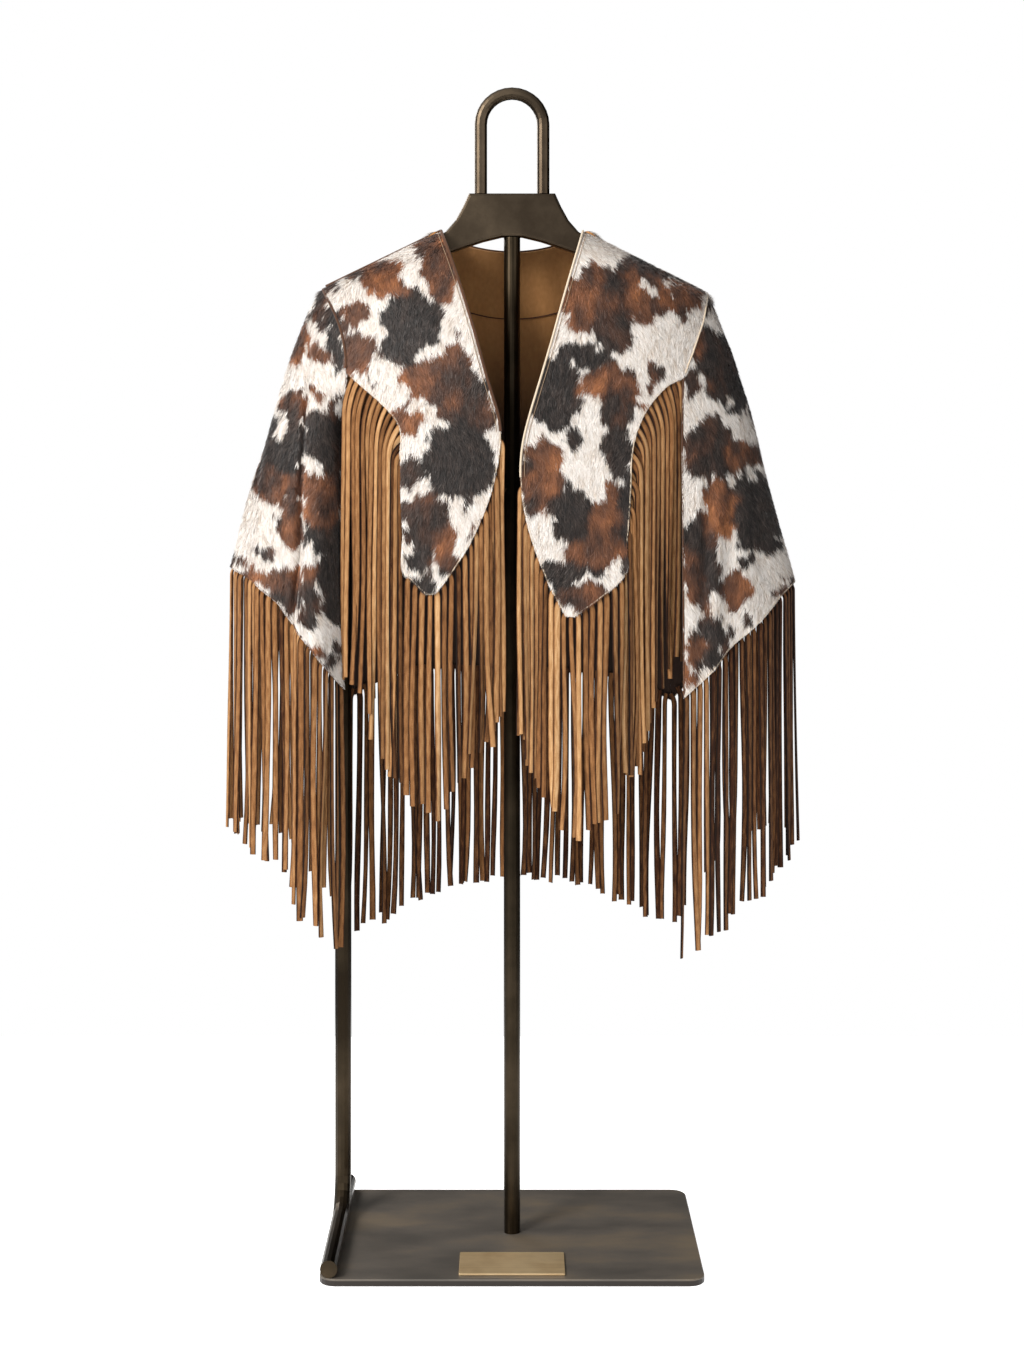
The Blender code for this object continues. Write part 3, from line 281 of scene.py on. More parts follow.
# back panel, hidden in the view, in the same pixels as if seen through the front
PATCHES_BACK = (
    (425, 268, 34, 26, -20, BROWN), (462, 284, 30, 34, 20, DARK), (540, 262, 34, 12, 0, BLACK),
    (574, 280, 20, 20, 0, BLACK), (610, 266, 30, 16, 20, BROWN), (660, 290, 28, 12, 25, DARK),
    (366, 296, 34, 13, -25, BLACK), (352, 330, 22, 30, 0, BROWN), (372, 352, 20, 18, 0, DARK),
    (500, 330, 24, 40, 10, BROWN), (484, 366, 34, 20, -15, DARK), (520, 300, 10, 14, 0, DARK),
    (424, 326, 14, 12, 0, BLACK), (602, 330, 20, 26, 0, BLACK), (634, 350, 30, 34, 0, BLACK),
    (668, 372, 18, 36, -12, BROWN), (650, 398, 24, 18, 0, DARK), (556, 372, 9, 8, 0, DARK),
    (548, 404, 40, 18, 12, BROWN), (514, 424, 22, 32, 0, DARK), (522, 450, 34, 24, 0, BLACK),
    (404, 402, 30, 26, 30, DARK), (376, 424, 24, 26, 0, BLACK), (338, 410, 12, 28, 0, BROWN),
    (442, 386, 16, 12, 0, BROWN), (436, 450, 12, 18, -20, BROWN), (588, 428, 8, 12, 0, DARK),
    (560, 476, 26, 24, 0, BROWN), (612, 470, 22, 40, -15, BLACK), (596, 508, 30, 20, 0, DARK),
    (664, 462, 12, 16, 0, BROWN), (682, 492, 16, 30, 0, BLACK), (356, 480, 26, 14, 0, BROWN),
    (408, 492, 36, 24, 10, BLACK), (440, 520, 30, 30, 0, DARK), (462, 548, 26, 20, 0, BROWN),
    (472, 480, 5, 6, 0, DARK), (350, 540, 24, 34, 0, BLACK), (376, 566, 20, 20, 0, BROWN),
    (524, 520, 18, 14, 0, BROWN), (540, 566, 36, 24, -10, BLACK), (512, 590, 26, 18, 0, DARK),
    (640, 552, 30, 28, 0, BROWN), (662, 578, 28, 24, 0, DARK), (694, 556, 10, 14, 0, BLACK),
    (592, 568, 6, 8, 0, DARK), (420, 600, 26, 30, 15, BROWN), (444, 630, 30, 22, 0, BLACK),
    (596, 622, 32, 22, 10, BROWN), (628, 644, 22, 18, 0, BLACK), (350, 618, 18, 20, 0, DARK),
    (516, 640, 16, 20, 0, DARK), (560, 652, 12, 10, 0, BROWN), (676, 640, 18, 16, 0, BROWN),
    (390, 662, 22, 12, 0, BLACK), (490, 614, 4, 5, 0, DARK), (574, 596, 5, 4, 0, DARK),
    (500, 352, 8, 9, 0, WHITE), (402, 508, 7, 5, 0, WHITE), (628, 366, 7, 6, 0, WHITE))
PATCH_BLEND, TONE_BLEND = 2.2, 4.0       # pixels over which blots and their tones merge
PATCH_GROWTH, MOST_GROWTH = 0.13, 1.8    # how much larger blots are laid, share and pixels
WANDER, SWERVE = 2.4, 3.0                # how far patch borders wander, in pixels

# ---------------------------------------------------------------- fineness
GRID_STEP = 0.0031                       # spacing of the panels' points
HAIR_OVERHANG = 0.0014                   # how far hair may stand past a panel's border
MOST_TUFTS = 195000                      # on one panel
HAIR_SUNK = 0.0002                       # depth of the tufts' roots
HAIR_LENGTHS, HAIR_LIFTS, HAIR_WIDTHS = (0.65, 1.25), (0.3, 1.5), (0.6, 1.3)  # shares
HAIR_ROLL, HAIR_LEAN = 0.5, 0.26         # spread of the tufts' roll and of their normals
LEAST_KEPT = 0.15                        # least share of a tuft kept at a border
STRAND_THICK, STRAND_CROWN = 0.0013, 0.0007
STRAND_TUCK, LEAST_BEND = 0.005, 0.005   # start above the hem, and shortest turn
STRAND_GAP, STRAND_LAYER = 0.0010, 0.0014      # behind the hide, and between layers
ROOT_SCATTER, TIP_SCATTER = 0.0005, 0.0040
# how far a strand sways aside: at random, in a wave, with its neighbours, and in a bow
SWAY_RANDOM, SWAY_WAVE, SWAY_SHARED, SWAY_BOW = 0.0026, 0.0016, 0.0022, 0.0016
STAND_OFF, SWAY_FORWARD = 0.0024, 0.0028       # in front of the hem, and at random
TWIST, TWIST_DOWN, TWIST_WAVE = 0.12, 0.45, 0.15     # whole, towards the tip, in a wave
STRAIGHT_START, LEAST_FALL = 0.004, 0.02       # length before the turn, least after it
STRAND_WIDTHS, STRAND_SHADE = (0.82, 1.10), (0.52, 0.16)         # range, mean and spread
LEVEL_SHARE = 0.60                       # least share of a hem's length that counts as level
LOUVRE = 0.28                            # turn of the strands on steep hems
BEND_STEPS = (0.0, 0.12, 0.24, 0.36, 0.48, 0.60, 0.72, 0.86, 1.0)
FALL_STEPS = 8
UNDERARM_END = {LEFT: 0.8900, RIGHT: 0.8050}   # lowest root of the fringe under each arm
UNDERARM_NEST = {LEFT: 0.90, RIGHT: 0.26}      # how its bends grow towards the armhole
UNDERARM_CLOSE, UNDERARM_DROOP, UNDERARM_BEND = 0.74, 0.46, 0.006
UNDERARM_REACH = 0.1880                  # no strand under an arm turns out past this
BACK_SHADOW, SLEEVE_SHADOW = 0.42, {LEFT: 0.0, RIGHT: 0.44}      # painted shadow: darker strands where they hang in shade
SHADOW_FULL = 0.15                       # share of the way round where that is full
CORD_SIDES = 6
# cords: (radius, material, how far in from the edge, how far off the hide)
BACK_EDGE = (0.0013, "rolled_dark_edge")
FACING_SEAM = (0.0008, "rolled_dark_edge", 0.0, -FACING)
ROLLED_EDGE = {LEFT: (0.0019, "rolled_dark_edge", -0.0006, 0.0012),
               RIGHT: (0.0014, "pale_piping", -0.0006, 0.0012)}
STITCH_LINE = (0.0004, "stitching", 0.0038, 0.0016)
HEM_PIPING = (0.0009, "pale_piping")
SLEEVE_PIPING = {LEFT: (0.0010, "rolled_dark_edge"), RIGHT: (0.0010, "pale_piping")}
# the free inner edge of a sleeve: a dark cord, the edge's colour and painted shade as it curls in
FREE_EDGE = (0.0011, "rolled_dark_edge")
# seams at the armholes: on the left, dark as painted shade where the front overlaps the sleeve
ARMHOLE_SEAM = {LEFT: (0.0016, "rolled_dark_edge", 0.0, 0.0012),
                RIGHT: (0.0010, "pale_piping", 0.0, 0.0012)}
# seeds of the random draws; a left piece takes one less, a right piece one more
SEEDS = {"back_hide": 11, "back_fringe": 21, "front_hide": 31, "point_fringe": 41,
         "underarm_fringe": 51, "sleeve_hide": 61, "sleeve_fringe": 71}
# section of a strand: (share of the half width, height above the middle)
SECTION = ((-1.0, 0.0), (-0.5, STRAND_CROWN), (0.5, STRAND_CROWN), (1.0, 0.0),
           (1.0, -STRAND_THICK), (0.5, STRAND_CROWN - STRAND_THICK),
           (-0.5, STRAND_CROWN - STRAND_THICK), (-1.0, -STRAND_THICK))


# ---------------------------------------------------------------- the form of the cape
def look_up(table, key):
    """Piecewise linear value of a two-column table, in any order of its first column."""
    rows = np.array(sorted(table))
    return np.interp(key, rows[:, 0], rows[:, 1])


def half_width(x, z):
    return np.where(np.asarray(x) < 0, look_up(WIDTH[LEFT], z), look_up(WIDTH[RIGHT], z))


def middle_depth(z, facing):
    column = 1 if facing == "front" else 2
    return look_up([(row[0], row[column]) for row in DEPTH], NECK_Z - np.asarray(z))


def on_form(x, z, facing):
    """Points of the outer face at x and z: |y| = depth (1 - |x / half_width|^n)^(1 / m)."""
    x, z = np.broadcast_arrays(np.asarray(x, float), np.asarray(z, float))
    across, power = POWERS[facing]
    left_over = np.clip(1.0 - (np.abs(x) / half_width(x, z)) ** across, 0.0, None)
    depth = np.maximum(middle_depth(z, facing) * left_over ** (1.0 / power), SEAM / 2)
    return np.stack([x, -depth if facing == "front" else depth, z], axis=-1)


def level(x, y, z, facing):
    across, power = POWERS[facing]
    return ((np.abs(x) / half_width(x, z)) ** across
            + (np.abs(y) / middle_depth(z, facing)) ** power)


def unit(vectors):
    return vectors / np.maximum(np.linalg.norm(vectors, axis=-1, keepdims=True), 1e-9)


def inward(points, facing):
    """Unit vectors into the hollow: minus the slope of the form's level function."""
    x, y, z = points[..., 0], points[..., 1], points[..., 2]
    step, rise = 0.0005, 0.012
    slope = np.stack([
        (level(x + step, y, z, facing) - level(x - step, y, z, facing)) / (2 * step),
        (level(x, y + step, z, facing) - level(x, y - step, z, facing)) / (2 * step),
        (level(x, y, z + rise, facing) - level(x, y, z - rise, facing)) / (2 * rise)], axis=-1)
    return -unit(slope)


def sleeve_edge(side, z):
    return look_up(ARMHOLE[side], z)


def ring_point(side, share, z):
    """Point of a sleeve at height z, share -1 at its front edge, 0 outside, +1 behind."""
    points = np.zeros(np.broadcast(share, z).shape + (3,))
    share, z = np.broadcast_arrays(np.asarray(share, float), np.asarray(z, float))
    width = look_up(WIDTH[side], z)
    edge = sleeve_edge(side, z) + SEAM / 2
    for facing, chosen in (("front", share <= 0), ("back", share > 0)):
        across, power = POWERS[facing]
        last = np.arccos(np.clip(edge / width, 0, 1) ** (across / 2))
        angle = np.abs(share) * last
        x = width * np.cos(angle) ** (2 / across)
        y = middle_depth(z, facing) * np.sin(angle) ** (2 / power)
        y = -y if facing == "front" else y
        points[chosen] = np.stack([side * x, y, z], axis=-1)[chosen]
    return points


def creased(points):
    """The left sleeve with its long fold: a step and groove along a line, and a curled edge.

    With a the distance outwards from the line, the cloth comes forward by
    -lift tanh(a / soft) exp(-|a| / reach) - groove exp(-(a / soft)^2) - curl s^3, where s is
    the share of the way from the line to the free edge.
    """
    x, z = np.abs(points[..., 0]), points[..., 2]
    line, edge = look_up(CREASE, z), sleeve_edge(LEFT, z)
    away = x - line
    share = np.clip(-away / (line - edge), 0, 1)
    strength = np.clip((CREASE_TOP - z) / (CREASE_TOP - CREASE_FULL), 0, 1)
    free = np.clip((CREASE_FULL - z) / EDGE_FREE, 0, 1)
    held = np.clip((x - edge) / CREASE_REACH, 0, 1) * (1 - free) + free
    step = CREASE_LIFT * np.tanh(away / CREASE_SOFT) * np.exp(-np.abs(away) / CREASE_REACH)
    groove = CREASE_GROOVE * np.exp(-(away / CREASE_SOFT) ** 2)
    back = strength * held * (step + groove) + free * CREASE_CURL * share ** 3
    points = points.copy()
    points[..., 1] += np.where(points[..., 1] < FRONT_HALF, back, 0.0)
    return points


def hair_in_crease(points):
    """Share of the hair's length at points of the left sleeve: short down in the groove."""
    away = np.abs(points[..., 0]) - look_up(CREASE, points[..., 2])
    low = np.clip((CREASE_TOP - points[..., 2]) / (CREASE_TOP - CREASE_FULL), 0, 1)
    low = np.where(points[..., 1] < FRONT_HALF, low, 0.0)
    return 1 - 0.8 * low * np.exp(-(away / (1.5 * CREASE_SOFT)) ** 2)


def sleeve_hem(side, share):
    """Height of the hem at each share of the way round, where form and hem line meet."""
    z = np.full(share.shape, 0.70)
    for _ in range(30):
        x = np.abs(ring_point(side, share, z)[..., 0])
        z = np.where(share <= 0, look_up(HEM_FRONT[side], x), look_up(HEM_BEHIND[side], x))
    return z


def sleeve_rows(side, share):
    """Heights of the rows of a sleeve at each share, first row at the shoulder point."""
    top = SHOULDER[side][1] - TOP_DROP - TOP_BEND * share ** 2
    return top + (sleeve_hem(side, share) - top) * np.array(SLEEVE_ROWS)[:, None]


def both_inward(points):
    front = points[..., 1:2] <= 0
    return np.where(front, inward(points, "front"), inward(points, "back"))


def sleeve_surface(side):
    """Outer points of a sleeve: columns once round it, rows from the shoulder to the hem."""
    share = np.linspace(-1.0, 1.0, SLEEVE_COLUMNS + 1)
    z = sleeve_rows(side, share)
    return ring_point(side, np.broadcast_to(share, z.shape), z)


def edge_rows(side, facing):
    """Heights at which the rows of a body panel meet the sleeve."""
    return sleeve_rows(side, np.array([-1.0 if facing == "front" else 1.0]))[:, 0]


def armhole_end(side):
    """Height at which a front's edge leaves the sleeve."""
    return edge_rows(side, "front")[ARMHOLE_ROWS - 1]


def front_surface(side):
    """Outer points of a front: rows run from the neckline edge to the outer edge."""
    lower = np.array(ROWS[side])
    tip_x, tip_z = SHOULDER[side]
    armhole = edge_rows(side, "front")[:ARMHOLE_ROWS]
    neck_end = lower[0, 1] + 0.020
    down = (tip_z - armhole) / (tip_z - armhole[-1])
    z_out = np.concatenate([[tip_z], armhole, lower[:, 0]])
    z_in = np.concatenate([[NECK_Z], NECK_Z + (neck_end - NECK_Z) * down, lower[:, 1]])
    x_out = np.concatenate([[tip_x - SEAM_INSET], sleeve_edge(side, armhole) - SEAM / 2,
                            look_up(OUTER[side], lower[:, 0])])
    x_in = look_up(NECKLINE[side], z_in)
    across = np.linspace(0.0, 1.0, FRONT_COLUMNS + 1)
    x = x_in[:, None] + (x_out - x_in)[:, None] * across
    z = z_in[:, None] + (z_out - z_in)[:, None] * across
    points = on_form(side * x, z, "front")
    points[0, :, 1] = -SEAM / 2
    return points


def ridge(side, x):
    """Height of the shoulder seam at a distance x from the middle."""
    tip_x, tip_z = SHOULDER[side]
    return NECK_Z + (x - NECK_X) * (tip_z - NECK_Z) / (tip_x - NECK_X)


def back_surface():
    """Outer points of the back: columns from left to right, rows from the neck to the hem."""
    half_share, x_edge, down = {}, {}, {}
    for side in SIDES:
        tip_x, tip_z = SHOULDER[side]
        neck = NECK_X / tip_x
        half_share[side] = np.concatenate([neck * np.array(BACK_NECK_COLUMNS),
                                           neck + (1 - neck) * np.array(BACK_SHOULDER_COLUMNS)])
        rows = np.concatenate([[tip_z], edge_rows(side, "back")])
        edge = sleeve_edge(side, rows) - SEAM / 2
        edge[0] = tip_x - SEAM_INSET
        x_edge[side] = edge[:, None]
        down[side] = ((rows[0] - rows) / (rows[0] - rows[-1]))[:, None]
    share = np.concatenate([-half_share[LEFT][:0:-1], half_share[RIGHT]])
    x = share * np.where(share < 0, x_edge[LEFT], x_edge[RIGHT])
    mix = (share + 1) / 2
    low = down[LEFT] * (1 - mix) + down[RIGHT] * mix
    top_x = np.abs(x[0])
    on_ridge = np.where(x[0] < 0, ridge(LEFT, top_x), ridge(RIGHT, top_x))
    dip = BACK_NECK_Z + (NECK_Z - BACK_NECK_Z) * (top_x / NECK_X) ** 2
    top = np.where(top_x < NECK_X, dip, on_ridge)
    hem = look_up(HEM_BACK, x[-1])
    points = on_form(x, top + (hem - top) * low, "back")
    points[0, top_x >= NECK_X - 1e-6, 1] = SEAM / 2
    return points


# ---------------------------------------------------------------- fine grids
def through(values, knots, fine):
    """Cubic Hermite curve through rows of values at the knots.

    Each slope is the mean of the chords beside it, each weighted by the other's length.
    """
    step = np.diff(knots)
    wide = step.reshape((-1,) + (1,) * (values.ndim - 1))
    chord = np.diff(values, axis=0) / wide
    middle = (chord[:-1] * wide[1:] + chord[1:] * wide[:-1]) / (wide[:-1] + wide[1:])
    slope = np.concatenate([chord[:1], middle, chord[-1:]])
    at = np.clip(np.searchsorted(knots, fine, side="right") - 1, 0, len(knots) - 2)
    shape = (-1,) + (1,) * (values.ndim - 1)
    length = step[at].reshape(shape)
    s = ((fine - knots[at]) / step[at]).reshape(shape)
    start, end = values[at], values[at + 1]
    return (start * (1 + 2 * s) * (1 - s) ** 2 + end * s * s * (3 - 2 * s)
            + slope[at] * length * s * (1 - s) ** 2 - slope[at + 1] * length * s * s * (1 - s))


def mean_length(points):
    """Running length from row to row, as the mean over the columns."""
    steps = np.linalg.norm(np.diff(points, axis=0), axis=-1)
    return np.concatenate([[0.0], np.cumsum(steps.mean(axis=1))])


def refined(points):
    """The same surface on a finer grid, smooth through the given rows and columns."""
    for _ in range(2):
        knots = mean_length(points)
        count = max(int(round(knots[-1] / GRID_STEP)), 2)
        points = through(points, knots, np.linspace(0.0, knots[-1], count + 1))
        points = points.swapaxes(0, 1)
    return points


def folded(points, into, depth, folds, start, phase):
    """Soft folds down a panel: out by depth sin(2 pi (folds u + waver) + phase).

    u is the share of the way across. The folds fade out towards both side edges and
    above the start, a share of the way down. Also gives the new directions inward.
    """
    v, u = np.meshgrid(np.linspace(0, 1, points.shape[0]), np.linspace(0, 1, points.shape[1]),
                       indexing="ij")
    fade = np.clip((v - start) / FOLD_FADE, 0, 1)
    fade = fade * np.clip(np.minimum(u, 1 - u) / SIDE_FADE, 0, 1)
    fade = fade * fade * (3 - 2 * fade)
    waver = 0.35 * np.sin(2.1 * math.pi * v + 5 * u + phase)
    wave = np.sin(2 * math.pi * (folds * u + waver) + phase)
    wave = wave * (0.75 + 0.25 * np.sin(9 * u + phase))
    points = points - into * (depth * fade * wave)[..., None]
    turned = unit(np.cross(np.gradient(points, axis=0), np.gradient(points, axis=1)))
    turned = turned * np.sign((turned * into).sum(-1, keepdims=True))
    share = np.clip(v / TOP_FADE, 0, 1)[..., None]
    return points, unit(into * (1 - share) + turned * share)


# ---------------------------------------------------------------- patches
def seen_at(points):
    """Pixel column and row at which the photograph's camera sees the points."""
    ahead = points[..., 1] - CAMERA_PLACE[1]
    column = PICTURE_MIDDLE + PIXELS_PER_SLOPE * points[..., 0] / ahead
    row = HORIZON + PIXELS_PER_SLOPE * (CAMERA_PLACE[2] - points[..., 2]) / ahead
    return column, row


def patch_fields(across, down, patches):
    """How far inside the coloured patches each point is, in metres, and their tone there.

    For each blot r is the point's radius as a share of the ellipse's, and its distance is
    (1 - r) r / |slope of r^2 / 2|. Blots merge by a soft maximum, white ones cut by a soft
    minimum, and the tone is the mean of the blots' tones weighted by exp(distance).
    """
    table = np.array(patches, float)
    turn = np.radians(table[:, 4])
    ragged = (WANDER * np.sin(down / 7.0 + across / 19.0) * np.sin(down / 3.1 - across / 9.0 + 1)
              + SWERVE * np.sin(down / 5.2 + across / 11.0))
    ragged_down = (WANDER * np.sin(across / 6.0 - down / 15.0 + 2)
                   * np.sin(across / 3.3 + down / 11.0)
                   + SWERVE * np.sin(across / 5.8 - down / 10.0 + 1.3))
    dx = (across + ragged)[..., None] - table[:, 0]
    dy = (down + ragged_down)[..., None] - table[:, 1]
    u = dx * np.cos(turn) + dy * np.sin(turn)
    v = dy * np.cos(turn) - dx * np.sin(turn)
    radius = np.sqrt((u / table[:, 2]) ** 2 + (v / table[:, 3]) ** 2) + 1e-6
    slope = np.sqrt((u / table[:, 2] ** 2) ** 2 + (v / table[:, 3] ** 2) ** 2) + 1e-6
    grown = np.minimum(PATCH_GROWTH * table[:, 2:4].min(axis=1), MOST_GROWTH)
    away = np.clip((1 - radius) * radius / slope, -30, 30) + grown
    coloured = table[:, 5] >= 0
    inside = PATCH_BLEND * np.log(np.exp(away[..., coloured] / PATCH_BLEND).sum(-1) + 1e-12)
    if not coloured.all():
        cut = away[..., ~coloured].max(axis=-1)
        inside = np.minimum(inside, -cut)
    weight = np.exp(np.clip(away[..., coloured], -25, 8) / TONE_BLEND) + 1e-9
    tone = (weight * table[coloured, 5]).sum(-1) / weight.sum(-1)
    return inside * PIXEL, tone


def sleeve_patch_fields(side, points):
    """The sleeve's patches: in the view's pixels in front, counted along the cloth behind.

    A blot in front is placed by its length along the cloth from the sleeve's front edge,
    so it keeps its shape where the cloth turns away from the view.
    """
    rows = len(points)
    steps = np.linalg.norm(np.diff(points, axis=1), axis=-1)
    run = np.concatenate([np.zeros((rows, 1)), np.cumsum(steps, axis=1)], axis=1)
    column, row = seen_at(points)
    outermost = np.argmax(side * column, axis=1)
    at_turn = run[np.arange(rows), outermost][:, None]
    edge = column[:, :1]
    turn_column = column[np.arange(rows), outermost][:, None]
    scale = (turn_column - edge) / np.maximum(at_turn, 1e-6)
    unrolled = edge + run * scale
    seen = np.clip(run / np.maximum(at_turn, 1e-6), 0, 1)
    weight = np.clip((1 - seen) / 0.25, 0, 1)
    front_column = column * weight + unrolled * (1 - weight)
    front = patch_fields(front_column, row, PATCHES_SLEEVE[side])
    behind = patch_fields((run - at_turn) / PIXEL, row, PATCHES_BEHIND_SLEEVE)
    past = np.clip((run - at_turn) / 0.006, -1, 1)
    inside = np.where(past < 0, np.maximum(front[0], behind[0] + 0.02 * np.minimum(past, 0)),
                      np.maximum(behind[0], front[0] - 0.02 * np.maximum(past, 0)))
    mix = 0.5 + 0.5 * past
    return inside, front[1] * (1 - mix) + behind[1] * mix


# ---------------------------------------------------------------- meshes
def mesh_object(name, points, polygons):
    """A smooth mesh object from an array of points and arrays of polygons by size."""
    mesh = bpy.data.meshes.new(name)
    groups = [np.asarray(group, np.int32) for group in polygons if len(group)]
    sizes = np.concatenate([np.full(len(group), group.shape[1]) for group in groups])
    corners = np.concatenate([group.ravel() for group in groups])
    mesh.vertices.add(len(points))
    mesh.vertices.foreach_set("co", np.asarray(points, np.float32).ravel())
    mesh.loops.add(len(corners))
    mesh.loops.foreach_set("vertex_index", corners)
    mesh.polygons.add(len(sizes))
    starts = np.concatenate([[0], np.cumsum(sizes)[:-1]]).astype(np.int32)
    mesh.polygons.foreach_set("loop_start", starts)
    mesh.polygons.foreach_set("use_smooth", np.full(len(sizes), True))
    mesh.update(calc_edges=True)
    thing = bpy.data.objects.new(name, mesh)
    bpy.context.scene.collection.objects.link(thing)
    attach(thing, BODY)
    return thing


def set_attributes(thing, **values):
    """Values for each point: place is a vector, any other a number."""
    for name, array in values.items():
        kind, key = ("FLOAT_VECTOR", "vector") if name == "place" else ("FLOAT", "value")
        layer = thing.data.attributes.new(name, kind, "POINT")
        layer.data.foreach_set(key, np.asarray(array, np.float32).ravel())


def set_map(thing, uv_of_point):
    """A UV map made from one pair of coordinates for each point."""
    layer = thing.data.uv_layers.new(name="OFBake")
    corners = np.empty(len(thing.data.loops), np.int32)
    thing.data.loops.foreach_get("vertex_index", corners)
    layer.uv.foreach_set("vector", np.asarray(uv_of_point, np.float32)[corners].ravel())


def grid_quads(rows, columns, start=0):
    row, column = np.meshgrid(np.arange(rows - 1), np.arange(columns - 1), indexing="ij")
    a = (start + row * columns + column).ravel()
    return np.stack([a, a + columns, a + columns + 1, a + 1], axis=1)


def rim_loop(rows, columns):
    """Indices of a grid's border, once round."""
    index = np.arange(rows * columns).reshape(rows, columns)
    return np.concatenate([index[0, :-1], index[:-1, -1], index[-1, :0:-1], index[:0:-1, 0]])


def panel(name, outer, into, thick, finishes):
    """Closed wall between a grid and the same grid moved in, with a rim round the border.

    The finishes are names of materials, the first outside and the second inside.
    """
    rows, columns = outer.shape[:2]
    inner = outer + into * thick
    points = np.concatenate([outer.reshape(-1, 3), inner.reshape(-1, 3)])
    total = rows * columns
    front = grid_quads(rows, columns)
    first = front[len(front) // 2]
    corner = points[first]
    facing = np.cross(corner[1] - corner[0], corner[3] - corner[0])
    loop = rim_loop(rows, columns)
    following = np.roll(loop, -1)
    rim = np.stack([loop, following, following + total, loop + total], axis=1)
    back = front[:, ::-1] + total
    if facing @ into.reshape(-1, 3)[first[0]] > 0:
        front, back, rim = front[:, ::-1], back[:, ::-1], rim[:, ::-1]
    thing = mesh_object(name, points, [front, back, rim])
    for finish in finishes:
        thing.data.materials.append(material(finish))
    inside = np.zeros(len(front) * 2 + len(rim), np.int32)
    inside[len(front):] = 1
    thing.data.polygons.foreach_set("material_index", inside)
    v, u = np.meshgrid(np.linspace(0.01, 0.99, rows), np.linspace(0.01, 0.99, columns),
                       indexing="ij")
    outside_map = np.stack([u.ravel() * 0.49, v.ravel()], axis=1)
    set_map(thing, np.concatenate([outside_map, outside_map + (0.5, 0.0)]))
    thing.data.set_sharp_from_angle(angle=math.radians(50))
    return thing


def bilinear(grid, row, column):
    """Values of a grid at fractional rows and columns."""
    i = np.minimum(row.astype(int), grid.shape[0] - 2)
    j = np.minimum(column.astype(int), grid.shape[1] - 2)
    fr, fc = row - i, column - j
    if grid.ndim == 3:
        fr, fc = fr[:, None], fc[:, None]
    return ((grid[i, j] * (1 - fr) + grid[i + 1, j] * fr) * (1 - fc)
            + (grid[i, j + 1] * (1 - fr) + grid[i + 1, j + 1] * fr) * fc)


def within_border(row, column, last, down, over, reach):
    """Share of each tuft's reach that ends no further past the panel's border than allowed.

    The reach is a down + b over, by least squares, where down and over are the grid's
    steps. With det = |down|^2 |over|^2 - (down . over)^2, the rows are sqrt(det) / |over|
    apart and the columns sqrt(det) / |down|.
    """
    dd, oo, do = ((one * two).sum(-1) for one, two in ((down, down), (over, over), (down, over)))
    rd, ro = (reach * down).sum(-1), (reach * over).sum(-1)
    det = np.maximum(dd * oo - do ** 2, 1e-16)
    share = np.ones(len(row))
    for at, end, moved, gap in ((row, last[0], (rd * oo - ro * do) / det, np.sqrt(det / oo)),
                                (column, last[1], (ro * dd - rd * do) / det, np.sqrt(det / dd))):
        room = np.where(moved > 0, end - at, at) + HAIR_OVERHANG / gap
        share = np.minimum(share, room / np.maximum(np.abs(moved), 1e-6))
    return np.clip(share, LEAST_KEPT, 1.0)[:, None]


